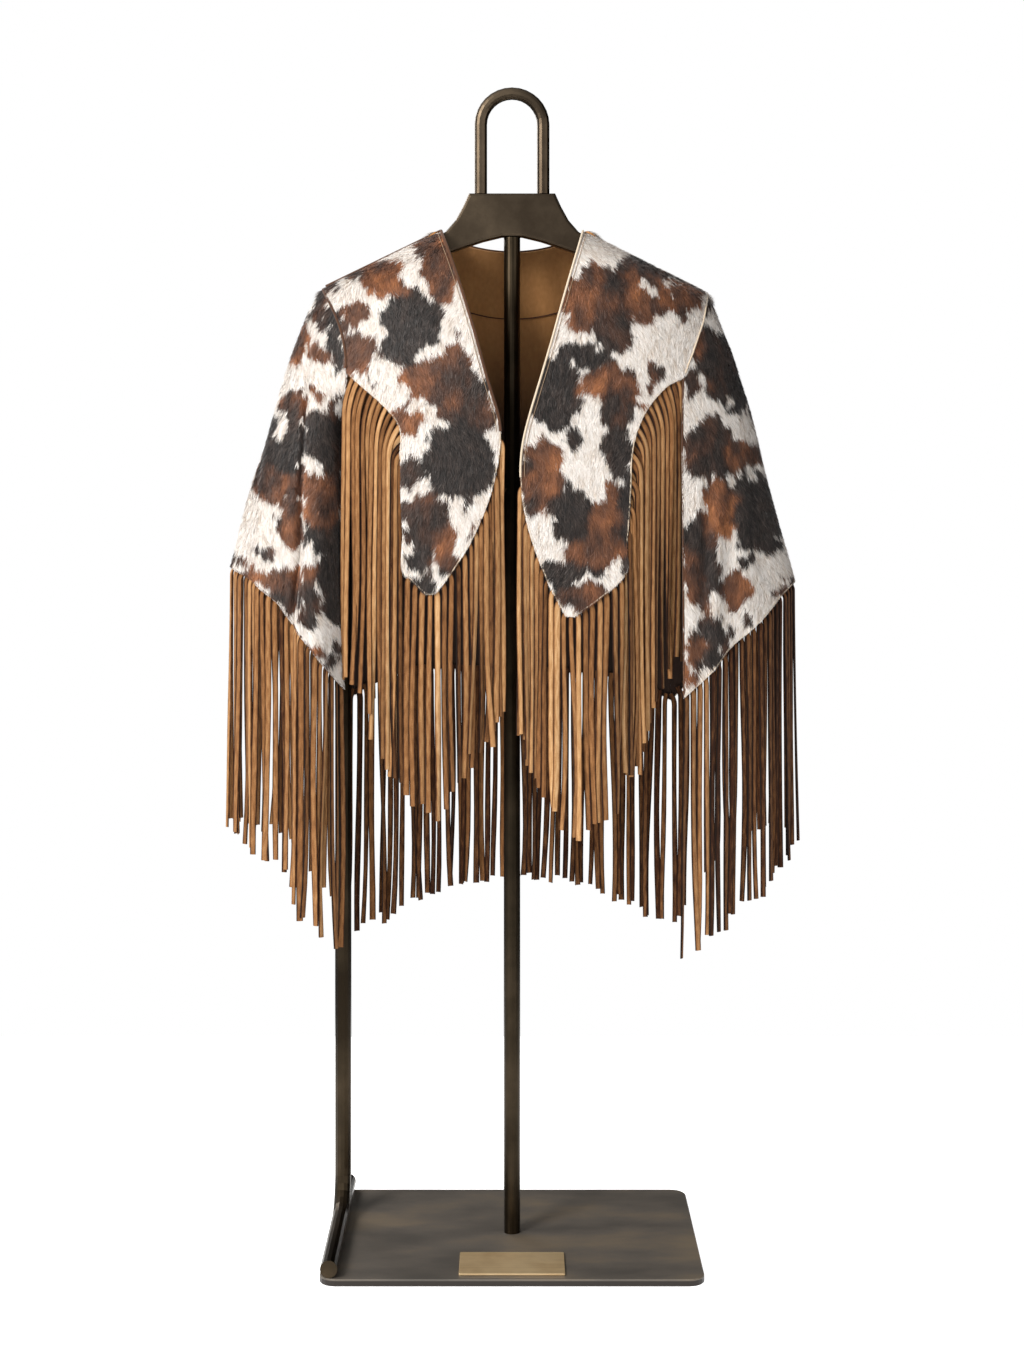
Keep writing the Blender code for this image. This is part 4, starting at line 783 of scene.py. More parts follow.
def hair(name, outer, out, inside, tone, count, look, seed, kept_long=None):
    """Short hair on a panel: one narrow triangle for each tuft.

    Tufts are spread by area. Each lies along the nap, which is the way down the panel
    turned by slow waves, rises a little to its tip, and is rolled by a random angle.
    """
    draw = np.random.default_rng(seed)
    down_grid, across_grid = np.gradient(outer, axis=0), np.gradient(outer, axis=1)
    cell = np.linalg.norm(np.cross(down_grid, across_grid), axis=-1)[:-1, :-1]
    cells = draw.choice(cell.size, size=count, p=(cell / cell.sum()).ravel())
    row = cells // cell.shape[1] + draw.random(count)
    column = cells % cell.shape[1] + draw.random(count)
    root = bilinear(outer, row, column)
    normal = unit(bilinear(out, row, column))
    fall = np.broadcast_to(np.array([0.0, 0.0, -1.0]), normal.shape)
    fall = unit(fall - normal * (fall * normal).sum(-1, keepdims=True))
    side = np.cross(fall, normal)
    wave = (0.28 * np.sin(root[:, 0] * 41 + root[:, 2] * 23 + seed)
            + 0.20 * np.sin(root[:, 2] * 67 - root[:, 0] * 29 + 2 * seed)
            + 0.12 * np.sin(root[:, 0] * 310 + 3.0 * np.sin(root[:, 2] * 83 + seed)))
    swing = (wave + draw.normal(0, look.hair_spread, count))[:, None]
    along = fall * np.cos(swing) + side * np.sin(swing)
    length = (look.hair_length * draw.uniform(*HAIR_LENGTHS, count))[:, None]
    lift = (look.hair_lift * draw.uniform(*HAIR_LIFTS, count))[:, None]
    if kept_long:
        length, lift = length * kept_long(root)[:, None], lift * kept_long(root)[:, None]
    roll = draw.normal(0, HAIR_ROLL, count)[:, None]
    wide = np.cross(along, normal) * np.cos(roll) + normal * np.sin(roll)
    half = (look.hair_width * draw.uniform(*HAIR_WIDTHS, count))[:, None] / 2
    rows, columns = outer.shape[:2]
    kept = within_border(row, column, (rows - 1, columns - 1), bilinear(down_grid, row, column),
                         bilinear(across_grid, row, column), along * length)
    tip = root + along * length * kept + normal * lift * np.sqrt(kept)
    corners = np.stack([root - wide * half, root + wide * half, tip], axis=1)
    corners[:, :2] -= normal[:, None] * HAIR_SUNK
    thing = mesh_object(name, corners.reshape(-1, 3), [np.arange(count * 3).reshape(-1, 3)])
    thing.data.materials.append(material("spotted_hide_hair"))
    lean = normal + wide * draw.normal(0, HAIR_LEAN, count)[:, None]
    thing.data.normals_split_custom_set_from_vertices(
        np.repeat(unit(lean), 3, axis=0).tolist())
    # each tuft's shade is random and raised at its tip, so the roots take the painted shade
    shade = 0.60 * draw.random(count)[:, None] + (0.0, 0.0, 0.40)
    set_attributes(thing, place=np.repeat(root, 3, axis=0), shade=shade,
                   coat=np.repeat(bilinear(inside, row, column), 3),
                   tone=np.repeat(bilinear(tone, row, column), 3))
    where = 0.01 + 0.98 * np.stack([column / (columns - 1), row / (rows - 1)], axis=1)
    spot = np.array([[-0.0012, 0.0], [0.0012, 0.0], [0.0, 0.002]])
    set_map(thing, np.clip(where[:, None] + spot, 0, 1).reshape(-1, 2))
    return thing


def dress(thing, points, inside, tone):
    """Gives a panel the values that its hide is coloured by, on both faces."""
    set_attributes(thing, place=np.stack([points, points]), coat=np.stack([inside, inside]),
                   tone=np.stack([tone, tone]), shade=np.full((2,) + tone.shape, 0.5))


# ---------------------------------------------------------------- fringe
def resample(run, lengths):
    """A run of points, and the directions kept with it, at given lengths along the run."""
    steps = np.linalg.norm(np.diff(run["edge"], axis=0), axis=1)
    total = np.concatenate([[0.0], np.cumsum(steps)])
    found = {key: np.stack([np.interp(lengths, total, values[:, k]) for k in range(3)], axis=1)
             for key, values in run.items()}
    return {key: unit(values) if key != "edge" else values for key, values in found.items()}


def strand_roots(run, pitch):
    """Lengths along a run at which strands start, and the run's whole length.

    A step of the run counts by its level part, but by no less than LEVEL_SHARE of it, and
    the strands are even by that count.
    """
    steps = np.diff(run["edge"], axis=0)
    length = np.linalg.norm(steps, axis=1)
    counted = np.maximum(np.linalg.norm(steps[:, :2], axis=1), LEVEL_SHARE * length)
    counted = np.concatenate([[0.0], np.cumsum(counted)])
    total = np.concatenate([[0.0], np.cumsum(length)])
    count = int(counted[-1] / pitch)
    places = (np.arange(count) + 0.5) * counted[-1] / count
    return np.interp(places, counted, total), total[-1]


def strands(name, run, fringe, tip_height, seed, close=1.0, droop=0.5, bend=None, nest=0.0,
            reach=1.0, dark=lambda share: 0):
    """Flat suede strands along a hem.

    A strand leaves the hem between the way square to it and straight down, by the droop,
    and turns to hang as a smooth step. It turns over the bend, which grows by nest times
    the length left to the run's end, so that strands of a steep hem hang side by side. No
    strand turns out past the reach, a distance from the middle.
    """
    draw = np.random.default_rng(seed)
    bend = fringe.bend if bend is None else bend
    roots, length = strand_roots(run, fringe.pitch * close)
    count = len(roots)
    order = np.arange(count)
    at = resample(run, roots + draw.normal(0, ROOT_SCATTER, count))
    share = roots / length
    down = np.array([0.0, 0.0, -1.0])
    out = unit(-at["into"] * np.array([1.0, 1.0, 0.2]))
    steep = np.clip(1.3 * (1 - np.abs(at["up"][:, 2])), 0, 1)
    leave = unit(down * droop - at["up"] * (1 - droop))
    behind = CLOTH + STRAND_GAP + (order % 3) * STRAND_LAYER * steep
    start = at["edge"] + at["up"] * STRAND_TUCK + at["into"] * behind[:, None]
    room = (reach - np.abs(start[:, 0])) / (0.55 * np.abs(leave[:, 0]) + 0.02)
    turn = np.clip(np.minimum(bend + nest * (length - roots), room),
                   LEAST_BEND, fringe.most_bend)[:, None]
    bent = np.array(BEND_STEPS) * (turn + STRAND_TUCK)
    turning = np.clip((bent - STRAIGHT_START) / turn, 0, 1)
    turning = (turning * turning * (3 - 2 * turning))[..., None]
    heading = unit(leave[:, None] * (1 - turning) + down * turning)
    ways = unit(heading[:, :-1] + heading[:, 1:]) * np.diff(bent, axis=1)[..., None]
    arc = start[:, None] + np.concatenate([np.zeros((count, 1, 3)), np.cumsum(ways, axis=1)], 1)
    tips = tip_height(share, arc[:, -1, 0]) + draw.normal(0, TIP_SCATTER, count)
    fall = np.maximum(arc[:, -1, 2] - tips, LEAST_FALL)[:, None]
    fall = fall * np.arange(1, FALL_STEPS + 1) / FALL_STEPS
    path = np.concatenate([arc, arc[:, -1:] + down * fall[..., None]], axis=1)
    run_down = np.concatenate([bent, bent[:, -1:] + fall], axis=1)
    swing = np.concatenate([0 * bent, fall / fall[:, -1:]], axis=1) ** 1.3
    sway = draw.normal(0, 1, (6, count, 1))
    aside = (SWAY_RANDOM * sway[0] + SWAY_WAVE * np.sin(4 * swing + 3 * sway[1])
             + SWAY_SHARED * np.sin(2.2 * order + seed)[:, None]) * swing
    aside = aside + SWAY_BOW * sway[5] * np.sin(math.pi * swing)
    forward = (STAND_OFF * np.clip(run_down / 0.012, 0, 1) * (1 + 0.3 * sway[2])
               + SWAY_FORWARD * sway[2] * swing)
    path = (path + np.cross(down, out)[:, None] * aside[..., None]
            + out[:, None] * forward[..., None])
    angle = (TWIST * sway[3] + TWIST_DOWN * sway[4] * swing
             + TWIST_WAVE * np.sin(4 * swing + sway[1]) + LOUVRE * steep[:, None])[..., None]
    tangent = unit(np.gradient(path, axis=1))
    wide = unit(np.cross(tangent, out[:, None]))
    wide = wide * np.cos(angle) + np.cross(wide, tangent) * np.sin(angle)
    flat = np.cross(wide, tangent)
    half = (fringe.width / 2 * draw.uniform(*STRAND_WIDTHS, count))[:, None]
    half = (half * (1 + 0.07 * np.sin(9 * swing + 5 * sway[0])))[..., None, None]
    section = np.array(SECTION)
    points = (path[:, :, None] + wide[:, :, None] * half * section[:, :1]
              + flat[:, :, None] * section[:, 1:])
    rings, corners = points.shape[1:3]
    index = np.arange(points.size // 3).reshape(count, rings, corners)
    turned = np.roll(index, -1, axis=2)
    sides = np.stack([index[:, :-1], turned[:, :-1], turned[:, 1:], index[:, 1:]], axis=-1)
    thing = mesh_object(name, points.reshape(-1, 3),
                        [sides.reshape(-1, 4), index[:, 0, ::-1], index[:, -1]])
    fix_facing(thing)
    thing.data.set_sharp_from_angle(angle=math.radians(45))
    thing.data.materials.append(material("fringe_suede"))
    # painted shadow: the tone is lowered by dark(share) where strands hang in shade
    shade = np.clip(draw.normal(*STRAND_SHADE, count) - dark(share), 0, 1)
    across = np.broadcast_to(section[:, 0], points.shape[:3])
    length_down = np.broadcast_to(run_down[..., None], points.shape[:3])
    own_place = across + order[:, None, None] * 7.3
    set_attributes(thing, shade=np.repeat(shade, rings * corners), across=across,
                   place=np.stack([own_place, 0 * across, length_down], axis=-1))
    u = (order[:, None, None] + np.linspace(0.05, 0.95, corners)) / count
    v = 0.01 + 0.98 * length_down / run_down.max()
    set_map(thing, np.stack(np.broadcast_arrays(u, v), axis=-1).reshape(-1, 2))
    return thing


def piping(name, runs, radius, finish, inset=0.0, lift=0.0):
    """Thin round cords along runs, set in from the edge and lifted off the hide.

    The finish is a material's name.
    """
    turn = np.linspace(0, 2 * math.pi, CORD_SIDES, endpoint=False)[:, None]
    points, quads, ends, start = [], [], [], 0
    for run in runs:
        middle = run["edge"] + run["up"] * inset - run["into"] * lift
        along = unit(np.gradient(middle, axis=0))
        one = unit(run["into"] - along * (run["into"] * along).sum(-1, keepdims=True))
        other = np.cross(along, one)
        rings = middle[:, None] + radius * (one[:, None] * np.cos(turn)
                                            + other[:, None] * np.sin(turn))
        index = start + np.arange(rings.size // 3).reshape(rings.shape[:2])
        turned = np.roll(index, -1, axis=1)
        quads.append(np.stack([index[:-1], turned[:-1], turned[1:], index[1:]], -1).reshape(-1, 4))
        ends += [index[:1, ::-1], index[-1:]]
        points.append(rings.reshape(-1, 3))
        start += len(points[-1])
    thing = mesh_object(name, np.concatenate(points), quads + ends)
    fix_facing(thing)
    thing.data.materials.append(material(finish))
    round_it = np.tile(np.linspace(0.1, 0.9, CORD_SIDES), start // CORD_SIDES)
    set_map(thing, np.stack([np.linspace(0.01, 0.99, start), round_it], axis=1))
    return thing


def fix_facing(thing):
    """Turns every face outwards by recalculating the normals of closed parts."""
    shape = bmesh.new()
    shape.from_mesh(thing.data)
    bmesh.ops.recalc_face_normals(shape, faces=shape.faces)
    shape.to_mesh(thing.data)
    shape.free()


def run_of(outer, into, border, kept=slice(None), reach=3):
    """A run along a panel's border: its points, and ways square to it.

    The border is top, hem, first or last column. One way is up the panel, towards the
    points that lie further in by the reach, in rows or columns, and one into the hollow.
    """
    if border in ("first", "last"):
        outer, into = outer.swapaxes(0, 1), into.swapaxes(0, 1)
    at, further = (0, reach) if border in ("top", "first") else (-1, -1 - reach)
    edge = outer[at, kept]
    along = unit(np.gradient(edge, axis=0))
    up = unit(outer[further, kept] - edge)
    up = unit(up - along * (up * along).sum(-1, keepdims=True))
    return {"edge": edge, "up": up, "into": into[at, kept]}


def joined(*runs):
    """Runs put end to end, their directions softened where they meet."""
    whole = {key: np.concatenate([run[key] for run in runs]) for key in runs[0]}
    for key in ("up", "into"):
        smooth = whole[key]
        for _ in range(3):
            padded = np.concatenate([smooth[:1], smooth, smooth[-1:]])
            smooth = (padded[:-2] + 2 * padded[1:-1] + padded[2:]) / 4
        whole[key] = unit(smooth)
    return whole


def edges_of_front(side, outer, into):
    """Runs of a front: its fringed point, its fringed outer edge, its neckline and its top."""
    neck_rows = np.flatnonzero(outer[:, 0, 2] <= FRINGE_FROM[side])
    z = outer[:, -1, 2]
    side_rows = np.flatnonzero(z <= OUTER[side][-3][0])[::-1]
    point_run = joined(run_of(outer, into, "first", neck_rows, 4),
                       run_of(outer, into, "hem", slice(1, -1), 2),
                       run_of(outer, into, "last", side_rows))
    arm_rows = np.flatnonzero((z < armhole_end(side) - 0.002) & (z >= UNDERARM_END[side]))
    curve_run = joined(run_of(outer, into, "last", arm_rows, 4))
    neckline = run_of(outer, into, "first", np.arange(1, neck_rows[0] + 1))
    seam = run_of(outer, into, "top", slice(0, -1))
    return point_run, curve_run, neckline, seam


# ---------------------------------------------------------------- materials
def srgb(red, green, blue):
    """Linear colour from picture values of 0 to 255."""
    return tuple(((c / 255 + 0.055) / 1.055) ** 2.4 if c > 10 else c / 3295
                 for c in (red, green, blue)) + (1.0,)


class Value:
    """A socket of a material, on which arithmetic adds Math nodes."""

    def __init__(self, finish, socket):
        self.finish, self.socket = finish, socket

    def math(self, operation, *others, clamp=False):
        inputs = {0: self}
        inputs.update({k + 1: other for k, other in enumerate(others)})
        settings = {"operation": operation, "use_clamp": clamp}
        return self.finish.node("ShaderNodeMath", settings, inputs)

    def flipped(self, operation, other):
        return self.finish.node("ShaderNodeMath", {"operation": operation}, {0: other, 1: self})

    def __add__(self, other):
        return self.math("ADD", other)

    def __sub__(self, other):
        return self.math("SUBTRACT", other)

    def __mul__(self, other):
        return self.math("MULTIPLY", other)

    def __rsub__(self, other):
        return self.flipped("SUBTRACT", other)

    __radd__ = __add__
    __rmul__ = __mul__

    def clamped(self):
        return self.math("ADD", 0.0, clamp=True)


class Tree:
    """The nodes of one thing, a material or the surround: each comes from node()."""

    def __init__(self, owner, shader):
        owner.use_nodes = True
        self.tree = owner.node_tree
        self.shader = self.tree.nodes[shader]

    def node(self, kind, settings=None, inputs=None, output=0):
        made = self.tree.nodes.new(kind)
        for key, value in (settings or {}).items():
            if key == "stops":
                self.set_stops(made.color_ramp, value)
            else:
                setattr(made, key, value)
        for key, value in (inputs or {}).items():
            self.feed(made.inputs[key], value)
        return Value(self, made.outputs[output])

    def set_stops(self, ramp, stops):
        while len(ramp.elements) < len(stops):
            ramp.elements.new(0.5)
        for element, (position, colour) in zip(ramp.elements, stops):
            element.position, element.color = position, colour

    def feed(self, socket, value):
        if isinstance(value, Value):
            self.tree.links.new(value.socket, socket)
        else:
            socket.default_value = value

    def surface(self, **inputs):
        for key, value in inputs.items():
            self.feed(self.shader.inputs[key.replace("_", " ")], value)


class Finish(Tree):
    """One material, whose surface is one Principled shader."""

    def __init__(self, name, **constants):
        self.material = bpy.data.materials.new(name)
        super().__init__(self.material, "Principled BSDF")
        self.surface(**constants)

    def attribute(self, name, output="Fac"):
        kind = {"Vector": 1, "Fac": 2}[output]
        return self.node("ShaderNodeAttribute", {"attribute_name": name}, output=kind)

    def noise(self, vector, scale, detail=2.0, roughness=0.5):
        stretched = self.node("ShaderNodeVectorMath", {"operation": "MULTIPLY"},
                              {0: vector, 1: scale})
        return self.node("ShaderNodeTexNoise", None,
                         {"Vector": stretched, "Scale": 1.0, "Detail": detail,
                          "Roughness": roughness})

    def mix(self, factor, one, two):
        return self.node("ShaderNodeMix", {"data_type": "RGBA"},
                         {0: factor, 6: one, 7: two}, output=2)

    def ramp(self, value, stops):
        return self.node("ShaderNodeValToRGB", {"stops": stops}, {0: value})

    def bump(self, height, strength, distance):
        return self.node("ShaderNodeBump", None,
                         {"Strength": strength, "Distance": distance, "Height": height})

    def object_place(self):
        return self.node("ShaderNodeTexCoord", output=3)

    def height(self, place):
        return self.node("ShaderNodeSeparateXYZ", None, {0: place}, output=2)


def hide_finish(name):
    """Cowhide: white, brown and black hair, with torn edges along the nap.

    The patch edge is where the distance inside a patch, plus streaks drawn out along the
    nap, is above zero. Inside, the tone picks the colour from warm brown to black. Painted
    sheen greys the dark hair along the high streaks, and painted shade darkens the low
    streaks and the tufts' roots, in the dark and in the white hair.
    """
    finish = Finish(name, Specular_IOR_Level=0.40, Sheen_Weight=0.20, Sheen_Roughness=0.5)
    place = finish.attribute("place", "Vector")
    shade = finish.attribute("shade")
    torn = finish.noise(place, (120.0, 120.0, 45.0), 1.0)
    broad = finish.noise(place, (260.0, 260.0, 75.0), 2.0)
    fine = finish.noise(place, (900.0, 900.0, 170.0), 1.0)
    cloud = finish.noise(place, (60.0, 60.0, 32.0), 2.0)
    edge = (finish.attribute("coat") + (torn - 0.5) * 0.0130 + (broad - 0.5) * 0.0110
            + (fine - 0.5) * 0.0040)
    mask = (edge * 900.0 + 0.5).clamped()
    lock = finish.noise(place, (330.0, 330.0, 60.0), 2.0)
    tone = finish.attribute("tone") + (cloud - 0.5) * 1.10 + (fine - 0.5) * 0.30
    tone = tone - (0.008 - edge).clamped() * 12.0
    dark = finish.ramp(tone, ((0.02, srgb(184, 118, 72)), (0.22, srgb(136, 84, 52)),
                              (0.46, srgb(80, 48, 31)), (0.68, srgb(38, 24, 17)),
                              (0.90, srgb(25, 19, 17))))
    streak = lock * 1.1 + shade * 0.65 - 0.58
    # painted sheen: the dark hair greyed where the streaks run high
    painted_sheen = (streak - 0.25).clamped() * (tone * 1.2 + 0.1).clamped()
    dark = finish.mix(painted_sheen * 0.9, dark, srgb(122, 106, 98))
    # painted shade: the dark hair near black in the low streaks and at the tufts' roots
    dark = finish.mix((0.28 - streak).clamped() * 1.7, dark, srgb(12, 6, 3))
    # the white hair greyer in the low streaks and at the roots: painted shade
    pale = finish.ramp(streak * 0.8 + cloud * 0.35,
                       ((0.05, srgb(176, 156, 136)), (0.25, srgb(226, 214, 202)),
                        (0.48, srgb(248, 243, 238))))
    colour = finish.mix(mask, pale, dark)
    height = fine * 0.5 + lock * 0.8
    finish.surface(Base_Color=colour, Roughness=0.40 + fine * 0.3,
                   Normal=finish.bump(height, 0.6, 0.0012))
    return finish.material


def suede_finish(name):
    """Brushed suede strands: one tone for each strand, darker towards the cut edges.

    That darkening is partly the edges' own colour and partly painted shade, with more
    painted shade down one side. The shade attribute brings any painted shadow.
    """
    finish = Finish(name, Specular_IOR_Level=0.08, Sheen_Weight=0.06, Sheen_Roughness=0.6)
    place = finish.attribute("place", "Vector")
    across = finish.attribute("across")
    nap = finish.noise(place, (1.3, 1.3, 60.0), 3.0)
    grain = finish.noise(place, (6.0, 6.0, 700.0), 2.0)
    tone = finish.attribute("shade") * 0.55 + nap * 0.45 + (grain - 0.5) * 0.22
    # cut edges' colour and painted shade: darker near |across| = 1, and more on one side
    border = (across.math("ABSOLUTE") - 0.66).clamped() * 0.80 + (across - 0.25).clamped() * 0.20
    colour = finish.ramp(tone - border,
                         ((0.00, srgb(20, 8, 3)), (0.22, srgb(56, 30, 15)),
                          (0.44, srgb(132, 90, 54)), (0.63, srgb(180, 136, 91)),
                          (0.84, srgb(224, 188, 144))))
    finish.surface(Base_Color=colour, Roughness=0.78 + grain * 0.2,
                   Normal=finish.bump(nap * 0.6 + grain * 0.4, 0.35, 0.0008))
    return finish.material


def lining_finish(name, light, deep, painted_shade_colour=None):
    """Brushed suede in cloudy shades, with a painted shade from the armholes down where asked."""
    finish = Finish(name, Specular_IOR_Level=0.15, Sheen_Weight=0.15, Sheen_Roughness=0.6)
    place = finish.object_place()
    cloud = finish.noise(place, (14.0, 14.0, 5.0), 3.0)
    nap = finish.noise(place, (260.0, 260.0, 120.0), 3.0)
    colour = finish.mix(cloud * 0.7 + nap * 0.4 - 0.1, deep, light)
    if painted_shade_colour:
        # painted shade: below about 1.08 m the suede fades to the shade colour, fully below 0.94 m
        lit = (finish.height(place) * 7.0 - 6.55 + (cloud - 0.5) * 0.5).clamped()
        colour = finish.mix(lit, painted_shade_colour, colour)
    finish.surface(Base_Color=colour, Roughness=0.8 + nap * 0.15,
                   Normal=finish.bump(nap, 0.35, 0.0008))
    return finish.material


def bronze_finish(name, base, low, high, grain, metal, dull):
    """Smooth patinated bronze: a brown film in faint streaks, drawn out by the grain.

    Within a few millimetres of the ground the colour is darkened, as painted shade.
    """
    finish = Finish(name, Specular_IOR_Level=0.5)
    place = finish.object_place()
    cloud = finish.noise(place, grain, 4.0, 0.55)
    speck = finish.noise(place, (420.0, 420.0, 420.0), 2.0)
    colour = finish.ramp(cloud + (speck - 0.5) * 0.08, ((0.36, low), (0.5, base), (0.66, high)))
    # painted shade: the colour goes dark brown below a few millimetres' height
    low_painted_shade = ((PAINTED_SHADE_TOP - finish.height(place)) * 600.0).clamped()
    colour = finish.mix(low_painted_shade, colour, srgb(34, 28, 23))
    finish.surface(Base_Color=colour, Metallic=metal - cloud * 0.12,
                   Roughness=dull + cloud * 0.14)
    return finish.material


def brass_finish(name):
    """Bare brass plate, brushed along its length and a little dulled."""
    finish = Finish(name)
    place = finish.object_place()
    brushed = finish.noise(place, (9.0, 1400.0, 1400.0), 2.0)
    cloud = finish.noise(place, (30.0, 30.0, 30.0), 3.0)
    colour = finish.ramp(cloud * 0.6 + brushed * 0.4,
                         ((0.3, srgb(210, 176, 128)), (0.6, srgb(242, 214, 168))))
    finish.surface(Base_Color=colour, Metallic=0.72 + cloud * 0.05,
                   Roughness=0.30 + brushed * 0.22,
                   Normal=finish.bump(brushed, 0.12, 0.0002))
    return finish.material


def floor_finish(name):
    """White studio floor, lit a little of itself so that it meets the surround unseen."""
    finish = Finish(name, Specular_IOR_Level=0.1, Emission_Strength=0.9)
    place = finish.object_place()
    soft = finish.noise(place, (2.0, 2.0, 2.0), 1.0)
    colour = finish.mix(soft, srgb(250, 250, 250), srgb(255, 255, 255))
    finish.surface(Base_Color=colour, Emission_Color=(1.0, 1.0, 1.0, 1.0),
                   Roughness=0.95 - soft * 0.05)
    return finish.material


# each material's function, and the values it is made with
MATERIALS = {
    "spotted_hide_hair": (hide_finish,),
    "fringe_suede": (suede_finish,),
    # the third colour is painted shade, low down inside the cape
    "flesh_side_suede": (lining_finish, srgb(216, 160, 100), srgb(132, 86, 46),
                         srgb(38, 22, 13)),
    # dark cords: rolled edges and seams, some of them dark as painted shade
    "rolled_dark_edge": (lining_finish, srgb(104, 68, 44), srgb(58, 36, 24)),
    "pale_piping": (lining_finish, srgb(232, 218, 198), srgb(196, 174, 146)),
    "stitching": (lining_finish, srgb(176, 150, 122), srgb(126, 102, 80)),
    "patinated_bronze": (bronze_finish, srgb(80, 69, 56), srgb(66, 56, 45),
                         srgb(98, 85, 69), (12.0, 12.0, 12.0), 1.0, 0.27),
    # the same bronze made darker: painted shade on the pole and side tube below the cape
    "darkened_bronze": (bronze_finish, srgb(50, 42, 31), srgb(40, 33, 24),
                        srgb(64, 54, 41), (12.0, 12.0, 12.0), 1.0, 0.27),
    "dark_bronze_plate": (bronze_finish, srgb(112, 105, 97), srgb(98, 93, 87),
                          srgb(130, 117, 100), (6.0, 14.0, 14.0), 0.50, 0.34),
    "bare_brass": (brass_finish,),
    "pale_floor": (floor_finish,),
}
STAND_MATERIALS = {
    # the pole and the side tube take the bronze with painted shade
    "centre_pole": "darkened_bronze", "side_tube": "darkened_bronze",
    "hanger": "patinated_bronze", "top_loop": "patinated_bronze",
    "base_plate": "dark_bronze_plate", "label_plate": "bare_brass",
}


def material(name):
    """A material by name, made once."""
    make, *values = MATERIALS[name]
    return bpy.data.materials.get(name) or make(name, *values)


# ---------------------------------------------------------------- settings
def setting(name, description, default, **kind):
    return bpy.props.FloatProperty(name=name, description=description, default=default, **kind)


class HideLook(bpy.types.PropertyGroup):
    """Hair of the hide panels."""

    hair_length: setting("Hair length", "Length of a tuft of hair", 0.0095, unit="LENGTH")
    hair_width: setting("Tuft width", "Width of a tuft at its root", 0.0011, unit="LENGTH")
    hair_lift: setting("Hair lift", "How far the tips stand off the hide", 0.0016, unit="LENGTH")
    hair_spread: setting("Hair spread", "How much tufts stray from the nap", 0.20, subtype="ANGLE")
    hair_density: setting("Tufts per square millimetre", "How close the tufts stand", 0.95)


class FringeLook(bpy.types.PropertyGroup):
    """Suede fringe."""

    width: setting("Strand width", "Width of a strand", 0.0065, unit="LENGTH")
    pitch: setting("Strand pitch", "Level spacing of the strands along a hem", 0.0078,
                   unit="LENGTH")
    bend: setting("Bend", "Length over which a strand turns to hang", 0.012, unit="LENGTH")
    most_bend: setting("Longest bend", "Longest such length, under the arms", 0.055,
                       unit="LENGTH")


class StudioLook(bpy.types.PropertyGroup):
    """Light of the studio."""

    surround: setting("Surround", "Strength of the light from the white surround", 0.50)
    key: setting("Key light", "Power of the large light on the left", 105.0, unit="POWER")
    fill: setting("Fill light", "Power of the light on the right", 13.0, unit="POWER")


def tuft_count(outer, look):
    steps = np.cross(np.gradient(outer, axis=0), np.gradient(outer, axis=1))
    return min(int(np.linalg.norm(steps, axis=-1).sum() * 1e6 * look.hair_density), MOST_TUFTS)


def hide_panel(name, node, outer, into, inside, tone, seed, kept_long=None):
    """A panel and its hair. Returns both, the panel standing for its CAD node."""
    look = bpy.context.scene.cape_hide
    wall = panel(name, outer, into, CLOTH, ("spotted_hide_hair", "flesh_side_suede"))
    dress(wall, outer, inside, tone)
    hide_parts(node)
    tufts = hair(name + "_hair", outer, -into, inside, tone, tuft_count(outer, look), look,
                 seed, kept_long)
    return wall, tufts


